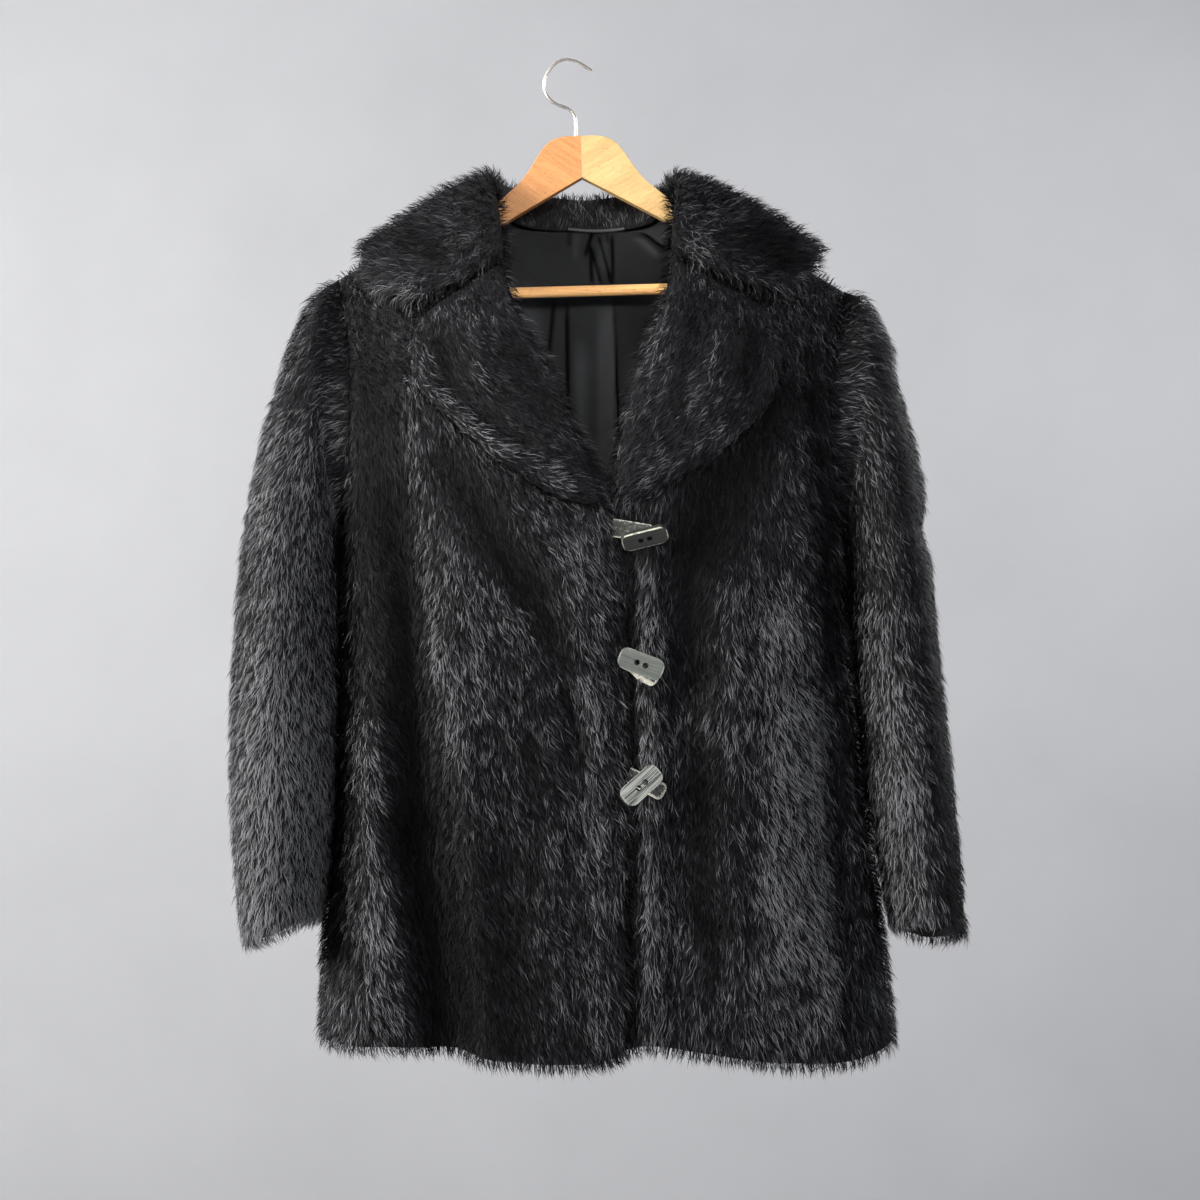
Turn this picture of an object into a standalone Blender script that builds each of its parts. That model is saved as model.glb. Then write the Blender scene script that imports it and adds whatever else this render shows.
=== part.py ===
"""A hip-length faux fur coat, closed with three toggles, on a wooden hanger with a wire hook.

The tables and functions are in millimetres, and the meshes in metres.
The origin is the inner top of the hook's bend, where the coat is hung up.
X runs to the viewer's right, -Y points out of the coat's front, +Z is up.
Right and left in names are the wearer's: the right front is at negative X.
"""

import math

import bmesh
import bpy
import numpy as np
from mathutils import Matrix, Vector

COLLECTION_NAME = "faux_fur_coat"
CUTTERS_NAME = "faux_fur_coat_cutters"
MM = 0.001

# The cloth
WALL = 5.0              # knitted backing, interlining and the packed foot of the pile
SEAM = 0.3              # gap between neighbouring pieces
LAPEL_WALL = 8.0        # shell and facing, back to back
LAPEL_GAP = 1.0         # the lapel rests this far off the front
COLLAR_WALL = 6.0
LINING_WALL = 1.0
LINING_GAP = 0.6
LINING_EASE = 3.0       # further off near the shoulders, where the back curves most

# The body: superellipse sections that close over the hanger in a shoulder ridge
RIDGE_X = 13.0          # middle of the hanger and of the shoulders
RIDGE_TOP = -71.5       # height at which the two shoulder slopes would meet
RIDGE_SLOPE = 0.585     # fall of the shoulder for each millimetre outwards
RIDGE_ROUND = 8.0       # how softly the two slopes meet
RIDGE_WALL = 1.15       # the sloping wall measures this much more straight down
SECTION_POWER = 2.5     # 2 is an ellipse, more is squarer
SHOULDER_POWER = 1.8
SHOULDER_RUN = 160.0    # height over which the shoulder rounds out to the full depth
MIDDLE_Y = -12.0        # the side seams hang this far in front of the hanger
ARMPIT_Z = -437.0
ARMHOLE_SCOOP = 15.0    # how far the armhole curves in towards the chest
SHOULDER_X = {"right": -210.0, "left": 255.0}
NECK_X = {"right": -68.0, "left": 97.0}
NECK_DROP = 31.9        # how far the back neckline dips below the neck points
NECK_POWER = 6.0        # 2 is a round neckline, more is a flatter one
UNDERLAP = 35.0         # the left front passes this far under the right one
UNDER_STEP = WALL + 2.0  # and lies this much deeper there
UNDER_RUN = 34.0        # it comes back up over this width beyond the closing edge
SIGN = {"right": -1, "left": 1}

# Rows and columns of faces in the panels
BODY_ROWS = 8
ARMHOLE_ROWS = 10
FRONT_COLUMNS = 16
SHOULDER_COLUMNS = 8
NECK_COLUMNS = 10
SIDE_CROWDING = 1.25    # columns stand closer together towards the side seams
RING_STEPS = 2 * ARMHOLE_ROWS


def table(names, *rows):
    """A small table: one numpy column for each name, one row for each section or fold."""
    return {name: np.array([row[i] for row in rows], float) for i, name in enumerate(names.split())}


def curve(rows, key, column, at):
    """A smooth curve through a table's column, read at values of its rising key column."""
    x, y = rows[key], rows[column]
    slope = np.gradient(y, x)
    at = np.clip(at, x[0], x[-1])
    i = np.clip(np.searchsorted(x, at) - 1, 0, len(x) - 2)
    step = x[i + 1] - x[i]
    t = (at - x[i]) / step
    start = y[i] * (2 * t ** 3 - 3 * t ** 2 + 1) + slope[i] * step * (t ** 3 - 2 * t ** 2 + t)
    return start + y[i + 1] * (3 * t ** 2 - 2 * t ** 3) + slope[i + 1] * step * (t ** 3 - t ** 2)


def smooth(t):
    """0 below 0, 1 above 1 and a soft step between."""
    t = np.clip(t, 0, 1)
    return t * t * (3 - 2 * t)


# Side seams and depth of the body at each height
BODY = table("z x_right x_left front back",
             (-905, -222, 297, 84, 56),
             (-800, -219, 286, 82, 57),
             (-700, -212, 273, 80, 58),
             (-600, -207, 262, 80, 59),
             (-500, -205, 252, 83, 60),
             (-437, -205, 248, 86, 60),
             (-340, -207, 250, 86, 58),
             (-260, -210, 254, 82, 54),
             (-200, -213, 257, 78, 50))

# Hem of the fronts and of the back
HEM = table("x front back",
            (-225, -896, -893),
            (-150, -890, -890),
            (-80, -896, -893),
            (-10, -902, -896),
            (40, -897, -895),
            (60, -888, -894),
            (120, -892, -890),
            (190, -902, -893),
            (250, -906, -896),
            (300, -898, -894))

# Closing edge of the right front, from the hem up to the break of the lapel
EDGE = table("z x",
             (-905, 51),
             (-670, 51),
             (-540, 47),
             (-464, 42),
             (-412, 36))

# Roll lines, where the fronts turn back, from below the break up to the neck
ROLL_RIGHT = table("z x",
                   (-412, 36),
                   (-368, 19),
                   (-325, -2),
                   (-282, -22),
                   (-238, -45),
                   (-190, -58),
                   (-158, -66),
                   (-128, -68))
ROLL_LEFT = table("z x",
                  (-520, 11),
                  (-450, 30),
                  (-394, 43),
                  (-373, 46),
                  (-325, 57),
                  (-277, 72),
                  (-237, 87),
                  (-188, 95),
                  (-161, 98),
                  (-128, 97))

# Long folds: a soft ridge (positive) or valley (negative) along a line on one face
FOLDS = table("face x_top z_top x_low z_low width height",
              (-1, -145, -330, -92, -1010, 20, -17),
              (-1, -185, -520, -175, -1010, 30, 9),
              (-1, -122, -400, -58, -1010, 22, 7),
              (-1, 4, -560, 18, -730, 14, -5),
              (-1, 68, -480, 64, -1010, 16, 3),
              (-1, 94, -440, 106, -640, 18, -8),
              (-1, 98, -660, 94, -860, 16, -6),
              (-1, 150, -480, 165, -1010, 34, 6),
              (-1, 205, -340, 212, -560, 20, 8),
              (-1, 228, -560, 244, -820, 18, -9),
              (1, -120, -380, -140, -1010, 30, -9),
              (1, -40, -420, -52, -1010, 34, 8),
              (1, 60, -400, 70, -1010, 26, -8),
              (1, 150, -440, 172, -1010, 36, 9),
              (1, 205, -520, 232, -1010, 22, -7))


def ridge(x):
    """Height of the shoulder line above a point."""
    return RIDGE_TOP - RIDGE_SLOPE * np.sqrt((x - RIDGE_X) ** 2 + RIDGE_ROUND ** 2)


def fold(x, z, face):
    """How far the folds of one face push it outwards."""
    total = np.zeros(np.broadcast(x, z).shape)
    for side, x_top, z_top, x_low, z_low, width, height in zip(*FOLDS.values()):
        if side != face:
            continue
        t = (z_top - z) / (z_top - z_low)
        across = (x - x_top - (x_low - x_top) * t) / width
        total = total + height * np.exp(-across ** 2) * smooth(t / 0.25) * smooth((1 - t) / 0.15)
    return total


def torso_y(x, z, face, valleys=True):
    """Depth of the body's outer surface: face -1 is the front and 1 the back."""
    right = curve(BODY, "z", "x_right", z)
    left = curve(BODY, "z", "x_left", z)
    off = np.clip(abs(x - (left + right) / 2) / ((left - right) / 2), 0, 1)
    bulge = (1 - off ** SECTION_POWER) ** (1 / SECTION_POWER)
    drop = np.clip((ridge(x) - z) / SHOULDER_RUN, 0, 1)
    shoulder = (1 - (1 - drop) ** SHOULDER_POWER) ** (1 / SHOULDER_POWER)
    push = fold(x, z, face)
    if not valleys:
        push = np.maximum(push, 0)
    depth = curve(BODY, "z", "front" if face < 0 else "back", z)
    out = depth * bulge * shoulder + push * smooth((1 - off) / 0.15) + SEAM / 2
    return MIDDLE_Y * smooth(drop) + face * out


def edge_x(z):
    """The right front's closing edge."""
    return curve(EDGE, "z", "x", z)


def inner_edge(side, z):
    """A front's inner edge: closing edge below the break, roll line above it."""
    if side == "right":
        return np.where(z < EDGE["z"][-1], edge_x(z), curve(ROLL_RIGHT, "z", "x", z))
    return np.where(z < ROLL_LEFT["z"][0], edge_x(z) - UNDERLAP, curve(ROLL_LEFT, "z", "x", z))


def under_step(x, z):
    """How much deeper the left front lies, where it passes under the right one."""
    return UNDER_STEP * (1 - smooth((x - edge_x(z) - 2) / UNDER_RUN))


def close_at_ends(steps):
    """Shares from 0 to 1, closer together at both ends."""
    return (1 - np.cos(np.linspace(0, math.pi, steps + 1))) / 2


def row_rise():
    """For each row, how far it is between armpit (0) and shoulder (1); 0 below the armpit."""
    return np.concatenate([np.zeros(BODY_ROWS), close_at_ends(ARMHOLE_ROWS)])


def row_fall():
    """For each row, how far it is between armpit (0) and hem (1); 0 above the armpit."""
    return np.concatenate([np.linspace(1, 0, BODY_ROWS + 1), np.zeros(ARMHOLE_ROWS)])


def outer_edge(side):
    """Side seam and armhole as one edge, from the hem up: x of each row."""
    rise, fall = row_rise(), row_fall()
    seam = curve(BODY, "z", "x_" + side, ARMPIT_Z + (BODY["z"][0] - ARMPIT_Z) * fall)
    scoop = SIGN[side] * ARMHOLE_SCOOP * np.sin(math.pi * rise)
    return seam + (SHOULDER_X[side] - seam) * rise - scoop


def row_heights(top_z, hem_z):
    """Heights of a grid of points from the heights of its top and bottom rows."""
    rise, fall = row_rise()[:, None], row_fall()[:, None]
    return ARMPIT_Z + (top_z - ARMPIT_Z) * rise + (hem_z - ARMPIT_Z) * fall


def front_grid(side):
    """Outer surface of one front: rows from hem to shoulder, columns from side seam to edge."""
    share = np.linspace(0, 1, FRONT_COLUMNS + 1) ** SIDE_CROWDING
    out_x = outer_edge(side)
    edge_z = row_heights(ridge(NECK_X[side]), HEM["front"][4])[:, 0]
    in_x = inner_edge(side, edge_z)
    x = out_x[:, None] + (in_x - out_x)[:, None] * share
    z = row_heights(ridge(x[-1]), curve(HEM, "x", "front", x[0]))
    y = torso_y(x, z, -1)
    if side == "left":
        y = y + under_step(x, z)
    return np.stack([x, y, z], -1)


def back_neck(x):
    """Height of the back's top edge: shoulder line outside the neck points, a dip between."""
    middle = (NECK_X["right"] + NECK_X["left"]) / 2
    off = np.clip(abs(x - middle) / ((NECK_X["left"] - NECK_X["right"]) / 2), 0, 1)
    dip = NECK_DROP * (1 - off ** NECK_POWER) ** 0.5
    return np.where(off < 1, ridge(NECK_X["right"]) - dip, ridge(x))


def back_grid(hem_lift=0.0, neck_drop=0.0, shoulder_drop=0.0):
    """Outer surface of the back: rows from hem to neck, columns from right to left side seam.
    The lining uses it too, with its edges drawn in."""
    out_right, out_left = outer_edge("right"), outer_edge("left")
    width = SHOULDER_X["left"] - SHOULDER_X["right"]
    neck = [(NECK_X[side] - SHOULDER_X["right"]) / width for side in ("right", "left")]
    crowded = np.linspace(0, 1, SHOULDER_COLUMNS + 1) ** SIDE_CROWDING
    share = np.concatenate([neck[0] * crowded,
                            neck[0] + (neck[1] - neck[0]) * close_at_ends(NECK_COLUMNS)[1:-1],
                            1 - (1 - neck[1]) * crowded[::-1]])
    x = out_right[:, None] + (out_left - out_right)[:, None] * share
    beside = smooth((abs(x[-1] - RIDGE_X) - 55) / 35)
    top = back_neck(x[-1]) - neck_drop - (shoulder_drop - neck_drop) * beside
    z = row_heights(top, curve(HEM, "x", "back", x[0]) + hem_lift)
    return np.stack([x, torso_y(x, z, 1), z], -1)


def grid_normals(grid, wrap=False):
    """Unit normals of a grid of points, across its columns and up its rows."""
    if wrap:
        along = np.roll(grid, -1, 1) - np.roll(grid, 1, 1)
    else:
        along = np.gradient(grid, axis=1)
    normal = np.cross(along, np.gradient(grid, axis=0))
    return normal / np.linalg.norm(normal, axis=-1, keepdims=True)


def panel_inside(side, grid, normal, thickness):
    """The inner surface of a body panel. At side seams and shoulders both panels' walls run
    the same way, so that they meet edge to edge and stay on their own side of the seam."""
    columns = {"right": [0], "left": [-1], "both": [0, -1]}[side]
    for column in columns:
        outward = -1.0 if column == 0 else 1.0
        normal[:BODY_ROWS + 1, column] = (outward, 0, 0)
    normal[-1] = (0, 0, RIDGE_WALL)
    inner = grid - normal * thickness
    face = -1 if side != "both" else 1
    middle = MIDDLE_Y * smooth((ridge(inner[..., 0]) - inner[..., 2]) / SHOULDER_RUN)
    inner[..., 1] = middle + face * np.maximum(face * (inner[..., 1] - middle), SEAM / 2)
    return inner


def front_walls(side):
    """Outer and inner surface of a front, columns from left to right as seen."""
    grid = front_grid(side)
    if side == "left":
        grid = grid[:, ::-1]
    return grid, panel_inside(side, grid, grid_normals(grid), WALL)


def back_walls():
    """Outer and inner surface of the back."""
    grid = back_grid()
    normal = -grid_normals(grid)
    neck = slice(SHOULDER_COLUMNS + 1, SHOULDER_COLUMNS + NECK_COLUMNS)
    neck_normal = normal[-1, neck].copy()
    inner = panel_inside("both", grid, normal, WALL)
    inner[-1, neck] = grid[-1, neck] - neck_normal * WALL
    return grid, inner


# Sleeves: each ring hangs between an inner point beside the body and an outer point
SLEEVES = {
    "right": table("x_in z_in x_out z_out y depth lift",
                   (-208, -447, -226, -215, -4, 50, 0),
                   (-210, -459, -240, -240, -6, 54, 0),
                   (-211, -472, -252, -272, -8, 57, 0),
                   (-212, -487, -262, -312, -10, 59, 0),
                   (-213, -504, -271, -352, -13, 60, 0),
                   (-213, -524, -280, -395, -16, 61, 0),
                   (-213, -548, -288, -443, -19, 62, 0),
                   (-214, -580, -293, -498, -22, 62, 0),
                   (-215, -620, -296, -558, -25, 62, 0),
                   (-218, -662, -297, -622, -28, 62, 0),
                   (-222, -702, -295, -684, -31, 61, 0),
                   (-226, -742, -290, -746, -34, 60, 3),
                   (-231, -782, -283, -806, -37, 58, 9)),
    "left": table("x_in z_in x_out z_out y depth lift",
                  (251, -447, 270, -222, -4, 50, 0),
                  (253, -458, 286, -248, -6, 54, 0),
                  (255, -470, 298, -280, -8, 57, 0),
                  (257, -483, 308, -318, -10, 60, 0),
                  (259, -498, 317, -356, -13, 62, 0),
                  (261, -516, 324, -398, -16, 63, 0),
                  (264, -540, 329, -446, -19, 64, 0),
                  (268, -574, 334, -502, -22, 65, 0),
                  (273, -614, 339, -562, -25, 65, 0),
                  (279, -660, 345, -624, -28, 65, 0),
                  (286, -704, 350, -686, -31, 64, 0),
                  (293, -748, 355, -746, -35, 62, 6),
                  (300, -788, 354, -800, -39, 59, 18)),
}
RING_POWER = 0.88       # 1 is an ellipse, less is fuller
SHOULDER_EASE = 0.8     # the sleeve head stands this much further off at the shoulder point


def armhole_ring(side):
    """The body's armhole as a ring: up its front edge and down its back edge."""
    column = 0 if side == "right" else -1
    front = front_walls(side)[0][BODY_ROWS:, column]
    back = back_walls()[0][BODY_ROWS:, column]
    return np.concatenate([front, back[-2:0:-1]])


def sleeve_grid(side):
    """Outer surface of a sleeve: rings from the armhole to the cuff."""
    first = armhole_ring(side)
    top = smooth((first[:, 2] - ridge(SHOULDER_X[side]) + 30) / 25)
    first[:, 0] += SIGN[side] * (SEAM + SHOULDER_EASE * top)
    turn = np.linspace(0, 2 * math.pi, RING_STEPS, endpoint=False)
    reach, fore = np.cos(turn), np.sin(turn)
    bulge = np.sign(fore) * abs(fore) ** RING_POWER
    rings = [first]
    for x_in, z_in, x_out, z_out, y, depth, lift in zip(*SLEEVES[side].values()):
        middle_x, middle_z = (x_in + x_out) / 2, (z_in + z_out) / 2
        rings.append(np.stack([middle_x + (x_in - x_out) / 2 * reach,
                               y - depth * bulge,
                               middle_z + (z_in - z_out) / 2 * reach + lift * fore], -1))
    return np.array(rings)


def sleeve_walls(side):
    """Outer surface, inner surface and outward normals of a sleeve."""
    grid = sleeve_grid(side)
    normal = grid_normals(grid, wrap=True) * -SIGN[side]
    outward = grid[0] - grid[0].mean(0)
    outward[:, 0] = 0
    normal[0] = outward / np.linalg.norm(outward, axis=-1, keepdims=True)
    return grid, grid - normal * WALL, normal


# Lapels: each row runs from the roll line to the lapel's outer edge, top to bottom
LAPELS = {
    "right": table("x_roll z_roll x_edge z_edge",
                   (-56, -203, -128, -250),
                   (-47, -236, -136, -279),
                   (-36, -261, -132, -305),
                   (-20, -288, -116, -326),
                   (-6, -319, -86, -355),
                   (10, -356, -47, -385),
                   (25, -386, -7, -409),
                   (34, -409, 24, -416)),
    "left": table("x_roll z_roll x_edge z_edge",
                  (96, -198, 174, -238),
                  (91, -229, 186, -265),
                  (82, -256, 190, -292),
                  (73, -280, 180, -321),
                  (66, -303, 157, -350),
                  (59, -330, 121, -379),
                  (53, -361, 80, -403),
                  (49, -390, 60, -414)),
}
LAPEL_COLUMNS = 6
LAPEL_EDGE_SHARE = 0.5  # the wall's thickness at its two long edges


def lapel_walls(side):
    """A lapel's two surfaces, laid on the front, thicker in its middle than at its edges."""
    rows = LAPELS[side]
    share = np.linspace(0, 1, LAPEL_COLUMNS + 1)
    x = rows["x_roll"][:, None] + (rows["x_edge"] - rows["x_roll"])[:, None] * share
    z = rows["z_roll"][:, None] + (rows["z_edge"] - rows["z_roll"])[:, None] * share
    under = torso_y(x, z, -1, valleys=False) - LAPEL_GAP
    swell = LAPEL_EDGE_SHARE + (1 - LAPEL_EDGE_SHARE) * (1 - abs(2 * share - 1) ** 3)
    outer = np.stack([x, under - LAPEL_WALL * swell, z], -1)
    return outer, np.stack([x, under, z], -1)


# Collar: stations round the neck, from the right gorge to the left one.
# Each section runs from the neck seam up to the roll, over it and down to the leaf's edge.
COLLAR = table("seam_x seam_y seam_z roll_x roll_y roll_z mid_x mid_y mid_z edge_x edge_y edge_z",
               (-58, -73, -196, -55, -79, -196, -90, -83, -217, -136, -76, -236),
               (-64, -50, -158, -62, -60, -154, -112, -68, -190, -176, -46, -213),
               (-66, -30, -134, -68, -38, -128, -117, -46, -158, -184, -34, -190),
               (-66, -5, -114.5, -74, -6, -105, -122, -6, -127, -186, -10, -170),
               (-57, 8, -128, -69, 16, -105, -112, 24, -130, -180, 22, -186),
               (-48, 18.5, -145.5, -56, 30, -109, -92, 44, -141, -152, 40, -208),
               (-20, 26, -150.4, -24, 39, -115, -46, 58, -148, -80, 60, -220),
               (14, 28.6, -150.5, 14, 42, -119, 14, 62, -150, 14, 64, -224),
               (48, 26, -150.4, 52, 39, -115, 76, 58, -148, 110, 60, -220),
               (78, 17.5, -145.2, 88, 29, -112, 124, 44, -141, 190, 40, -210),
               (86, 8.5, -128.5, 99, 15, -106, 146, 24, -131, 220, 20, -190),
               (96, -5, -115.5, 106, -6, -105, 168, -6, -130, 230, -10, -172),
               (99, -30, -136, 103, -38, -128, 160, -46, -156, 228, -32, -186),
               (101, -50, -158, 99, -60, -154, 150, -68, -186, 218, -44, -205),
               (98, -73, -192, 96, -79, -191, 148, -76, -214, 194, -64, -222))
COLLAR_STATIONS = 29
COLLAR_STEPS = (0.0, 0.5, 1.0, 1.5, 2.0, 2.5, 3.0)


def collar_walls():
    """The collar's outer surface and the one inside its fold."""
    order = np.arange(float(len(COLLAR["seam_x"])))
    around = {"order": order, **COLLAR}
    station = np.linspace(0, order[-1], COLLAR_STATIONS)
    corners = [np.stack([curve(around, "order", f"{point}_{axis}", station) for axis in "xyz"], -1)
               for point in ("seam", "roll", "mid", "edge")]
    steps = np.array(COLLAR_STEPS)
    section = np.empty((len(steps), COLLAR_STATIONS, 3))
    for k in range(COLLAR_STATIONS):
        for axis in range(3):
            path = {"t": np.arange(4.0), "c": np.array([c[k, axis] for c in corners])}
            section[:, k, axis] = curve(path, "t", "c", steps)
    normal = grid_normals(section)
    normal[0, :, 2] = 0
    normal[0] /= np.linalg.norm(normal[0], axis=-1, keepdims=True)
    return section, section - normal * COLLAR_WALL


# ---------------------------------------------------------------- meshes


# Colour, roughness and metallic value of each kind of material
FINISHES = {
    "fur": ((0.035, 0.034, 0.037), 0.9, 0),
    "satin": ((0.05, 0.052, 0.052), 0.45, 0),
    "cord": ((0.10, 0.09, 0.10), 0.8, 0),
    "horn": ((0.30, 0.31, 0.29), 0.35, 0),
    "thread": ((0.02, 0.02, 0.02), 0.9, 0),
    "leather": ((0.06, 0.06, 0.05), 0.55, 0),
    "orange_wood": ((0.62, 0.40, 0.20), 0.55, 0),
    "yellow_wood": ((0.75, 0.58, 0.34), 0.55, 0),
    "wire": ((0.78, 0.78, 0.76), 0.25, 1),
}


def add_material(name, finish):
    """A piece's own material, in one of the finishes above."""
    color, roughness, metallic = FINISHES[finish]
    material = bpy.data.materials.new(f"{name}_{finish}")
    material.use_nodes = True
    shader = material.node_tree.nodes["Principled BSDF"]
    shader.inputs["Base Color"].default_value = (*color, 1)
    shader.inputs["Roughness"].default_value = roughness
    shader.inputs["Metallic"].default_value = metallic
    return material


def add_object(name, mesh, finish, collection):
    mesh.materials.clear()
    mesh.materials.append(add_material(name, finish))
    thing = bpy.data.objects.new(name, mesh)
    collection.objects.link(thing)
    return thing


def loft(name, outer, inner, finish, collection, wrap=False):
    """A wall between two grids of points with the same rows and columns, closed at its rims."""
    bm = bmesh.new()
    sheets = [[[bm.verts.new(point * MM) for point in row] for row in sheet]
              for sheet in (outer, inner)]
    rows, columns = len(outer), len(outer[0])
    across = range(columns if wrap else columns - 1)
    for sheet in sheets:
        for i in range(rows - 1):
            for j in across:
                k = (j + 1) % columns
                bm.faces.new((sheet[i][j], sheet[i][k], sheet[i + 1][k], sheet[i + 1][j]))
    a, b = sheets
    for i in (0, rows - 1):
        for j in across:
            k = (j + 1) % columns
            bm.faces.new((a[i][j], a[i][k], b[i][k], b[i][j]))
    if not wrap:
        for j in (0, columns - 1):
            for i in range(rows - 1):
                bm.faces.new((a[i][j], a[i + 1][j], b[i + 1][j], b[i][j]))
    bmesh.ops.recalc_face_normals(bm, faces=bm.faces)
    mesh = bpy.data.meshes.new(name)
    bm.to_mesh(mesh)
    bm.free()
    mesh.shade_smooth()
    return add_object(name, mesh, finish, collection)


def welded(thing, finish, collection):
    """A curve object turned into a closed mesh object of the same name."""
    name = thing.name
    bpy.context.view_layer.update()
    evaluated = thing.evaluated_get(bpy.context.evaluated_depsgraph_get())
    mesh = bpy.data.meshes.new_from_object(evaluated)
    bm = bmesh.new()
    bm.from_mesh(mesh)
    bmesh.ops.remove_doubles(bm, verts=bm.verts, dist=0.00001)
    bmesh.ops.recalc_face_normals(bm, faces=bm.faces)
    bm.to_mesh(mesh)
    bm.free()
    matrix = thing.matrix_world.copy()
    bpy.data.objects.remove(thing)
    solid = add_object(name, mesh, finish, collection)
    solid.matrix_world = matrix
    return solid


def plate(name, outlines, thickness, finish, collection):
    """A flat plate in the XZ plane, from closed outlines of (x, z) points; inner ones are holes."""
    shape = bpy.data.curves.new(name, "CURVE")
    shape.dimensions = "2D"
    shape.fill_mode = "BOTH"
    shape.extrude = thickness / 2 * MM
    for outline in outlines:
        spline = shape.splines.new("POLY")
        spline.points.add(len(outline) - 1)
        for point, (x, z) in zip(spline.points, outline):
            point.co = (x * MM, z * MM, 0, 1)
        spline.use_cyclic_u = True
    thing = bpy.data.objects.new(name, shape)
    collection.objects.link(thing)
    thing.rotation_euler = (math.pi / 2, 0, 0)
    return welded(thing, finish, collection)


def tube(name, points, diameter, finish, collection, sides=2):
    """A round wire or cord along a list of points."""
    shape = bpy.data.curves.new(name, "CURVE")
    shape.dimensions = "3D"
    shape.bevel_depth = diameter / 2 * MM
    shape.bevel_resolution = sides
    shape.use_fill_caps = True
    spline = shape.splines.new("POLY")
    spline.points.add(len(points) - 1)
    for point, place in zip(spline.points, points):
        point.co = (*[c * MM for c in place], 1)
    shape.materials.append(add_material(name, finish))
    thing = bpy.data.objects.new(name, shape)
    collection.objects.link(thing)
    return thing


def cutter(name, diameter, length, collection):
    """A round cutter along Z."""
    bpy.ops.mesh.primitive_cylinder_add(vertices=20, radius=diameter / 2 * MM, depth=length * MM)
    return hidden(bpy.context.object, name, collection)


def box_cutter(name, width, collection):
    """An upright box cutter, taller than the hanger's joint."""
    bpy.ops.mesh.primitive_cube_add(size=1)
    box = Matrix.Diagonal((width * MM, 2 * WOOD_THICKNESS * MM, 80 * MM, 1))
    bpy.context.object.data.transform(box)
    return hidden(bpy.context.object, name, collection)


def hidden(thing, name, collection):
    thing.name = name
    for other in list(thing.users_collection):
        other.objects.unlink(thing)
    collection.objects.link(thing)
    thing.hide_render = True
    thing.display_type = "WIRE"
    return thing


def cut(thing, tool):
    modifier = thing.modifiers.new(tool.name, "BOOLEAN")
    modifier.operation = "DIFFERENCE"
    modifier.object = tool


def soften(thing, width, segments):
    modifier = thing.modifiers.new("rounded_edges", "BEVEL")
    modifier.width = width * MM
    modifier.segments = segments
    modifier.limit_method = "ANGLE"
    modifier.angle_limit = math.radians(40)


# ---------------------------------------------------------------- coat


def make_panels(collection):
    for side in ("right", "left"):
        outer, inner = front_walls(side)
        loft(f"front_{side}", outer, inner, "fur", collection)
    outer, inner = back_walls()
    loft("back", outer, inner, "fur", collection)


def make_sleeves(collection):
    """Sleeve tubes, and the ends of their linings just inside the cuffs."""
    for side in ("right", "left"):
        outer, inner, normal = sleeve_walls(side)
        loft(f"sleeve_{side}", outer, inner, "fur", collection, wrap=True)
        end = slice(-3, None)
        lining_outer = inner[end] - normal[end] * LINING_GAP
        lining_inner = lining_outer - normal[end] * LINING_WALL
        loft(f"sleeve_lining_{side}", lining_outer, lining_inner, "satin", collection, wrap=True)


def make_lapels_and_collar(collection):
    for side in ("right", "left"):
        outer, inner = lapel_walls(side)
        loft(f"lapel_{side}", outer, inner, "fur", collection)
    outer, inner = collar_walls()
    loft("collar", outer, inner, "fur", collection)


LINING_HEM_LIFT = 25.0
LINING_NECK_DROP = 1.0
LINING_SHOULDER_DROP = 32.0
PLEAT_X = 24.0
PLEAT_WIDTH = 22.0
PLEAT_HEIGHT = 5.0
PLEAT_TOP_Z = -160.0
PLEAT_RUN = 90.0


def make_lining(collection):
    """The back lining, on the back's inner surface, with a soft pleat down its middle."""
    grid = back_grid(LINING_HEM_LIFT, LINING_NECK_DROP, LINING_SHOULDER_DROP)
    normal = -grid_normals(grid)
    ease = LINING_EASE * smooth((grid[..., 2:] + 280) / 60)
    inside = grid - normal * (WALL + LINING_GAP + ease)
    kept = inside[:, 2:-2]
    kept_normal = normal[:, 2:-2]
    down = smooth((PLEAT_TOP_Z - kept[..., 2]) / PLEAT_RUN)
    pleat = PLEAT_HEIGHT * down * np.exp(-((kept[..., 0] - PLEAT_X) / PLEAT_WIDTH) ** 2)
    kept = kept - kept_normal * pleat[..., None]
    loft("lining_back", kept, kept - kept_normal * LINING_WALL, "satin", collection)


HANG_LOOP_ENDS = (0.7, 53.2)
HANG_LOOP_Y = 21.7
HANG_LOOP_Z = -150.2
HANG_LOOP_SAG = 2.2
HANG_LOOP_DIAMETER = 2.8


def make_hang_loop(collection):
    start, end = HANG_LOOP_ENDS
    points = []
    for t in np.linspace(0, 1, 11):
        sag = HANG_LOOP_SAG * 4 * t * (1 - t)
        bow = 1.5 * (2 * t - 1) ** 6
        points.append((start + (end - start) * t, HANG_LOOP_Y + bow, HANG_LOOP_Z - sag))
    tube("hang_loop", points, HANG_LOOP_DIAMETER, "cord", collection)


# Toggles: two-hole plates sewn to the left front, each turned as it hangs.
# turn lifts the right end, tip turns the face down, swing turns the right end away.
TOGGLE_LENGTH = 40.0
TOGGLE_WIDTH = 18.5
TOGGLE_THICKNESS = 5.0
TOGGLE_CORNER = 6.5
TOGGLE_HOLE = 4.8
TOGGLE_HOLE_OFFSET = 3.9
TOGGLE_EDGE = 1.0
TOGGLES = table("x y z turn tip swing",
                (68.9, -111.5, -445.1, 20, 46, 12),
                (65.7, -108.0, -553.3, -21, 5, 4),
                (66.1, -108.0, -658.0, 40, -12, 10))
THREAD_DIAMETER = 2.8

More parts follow.
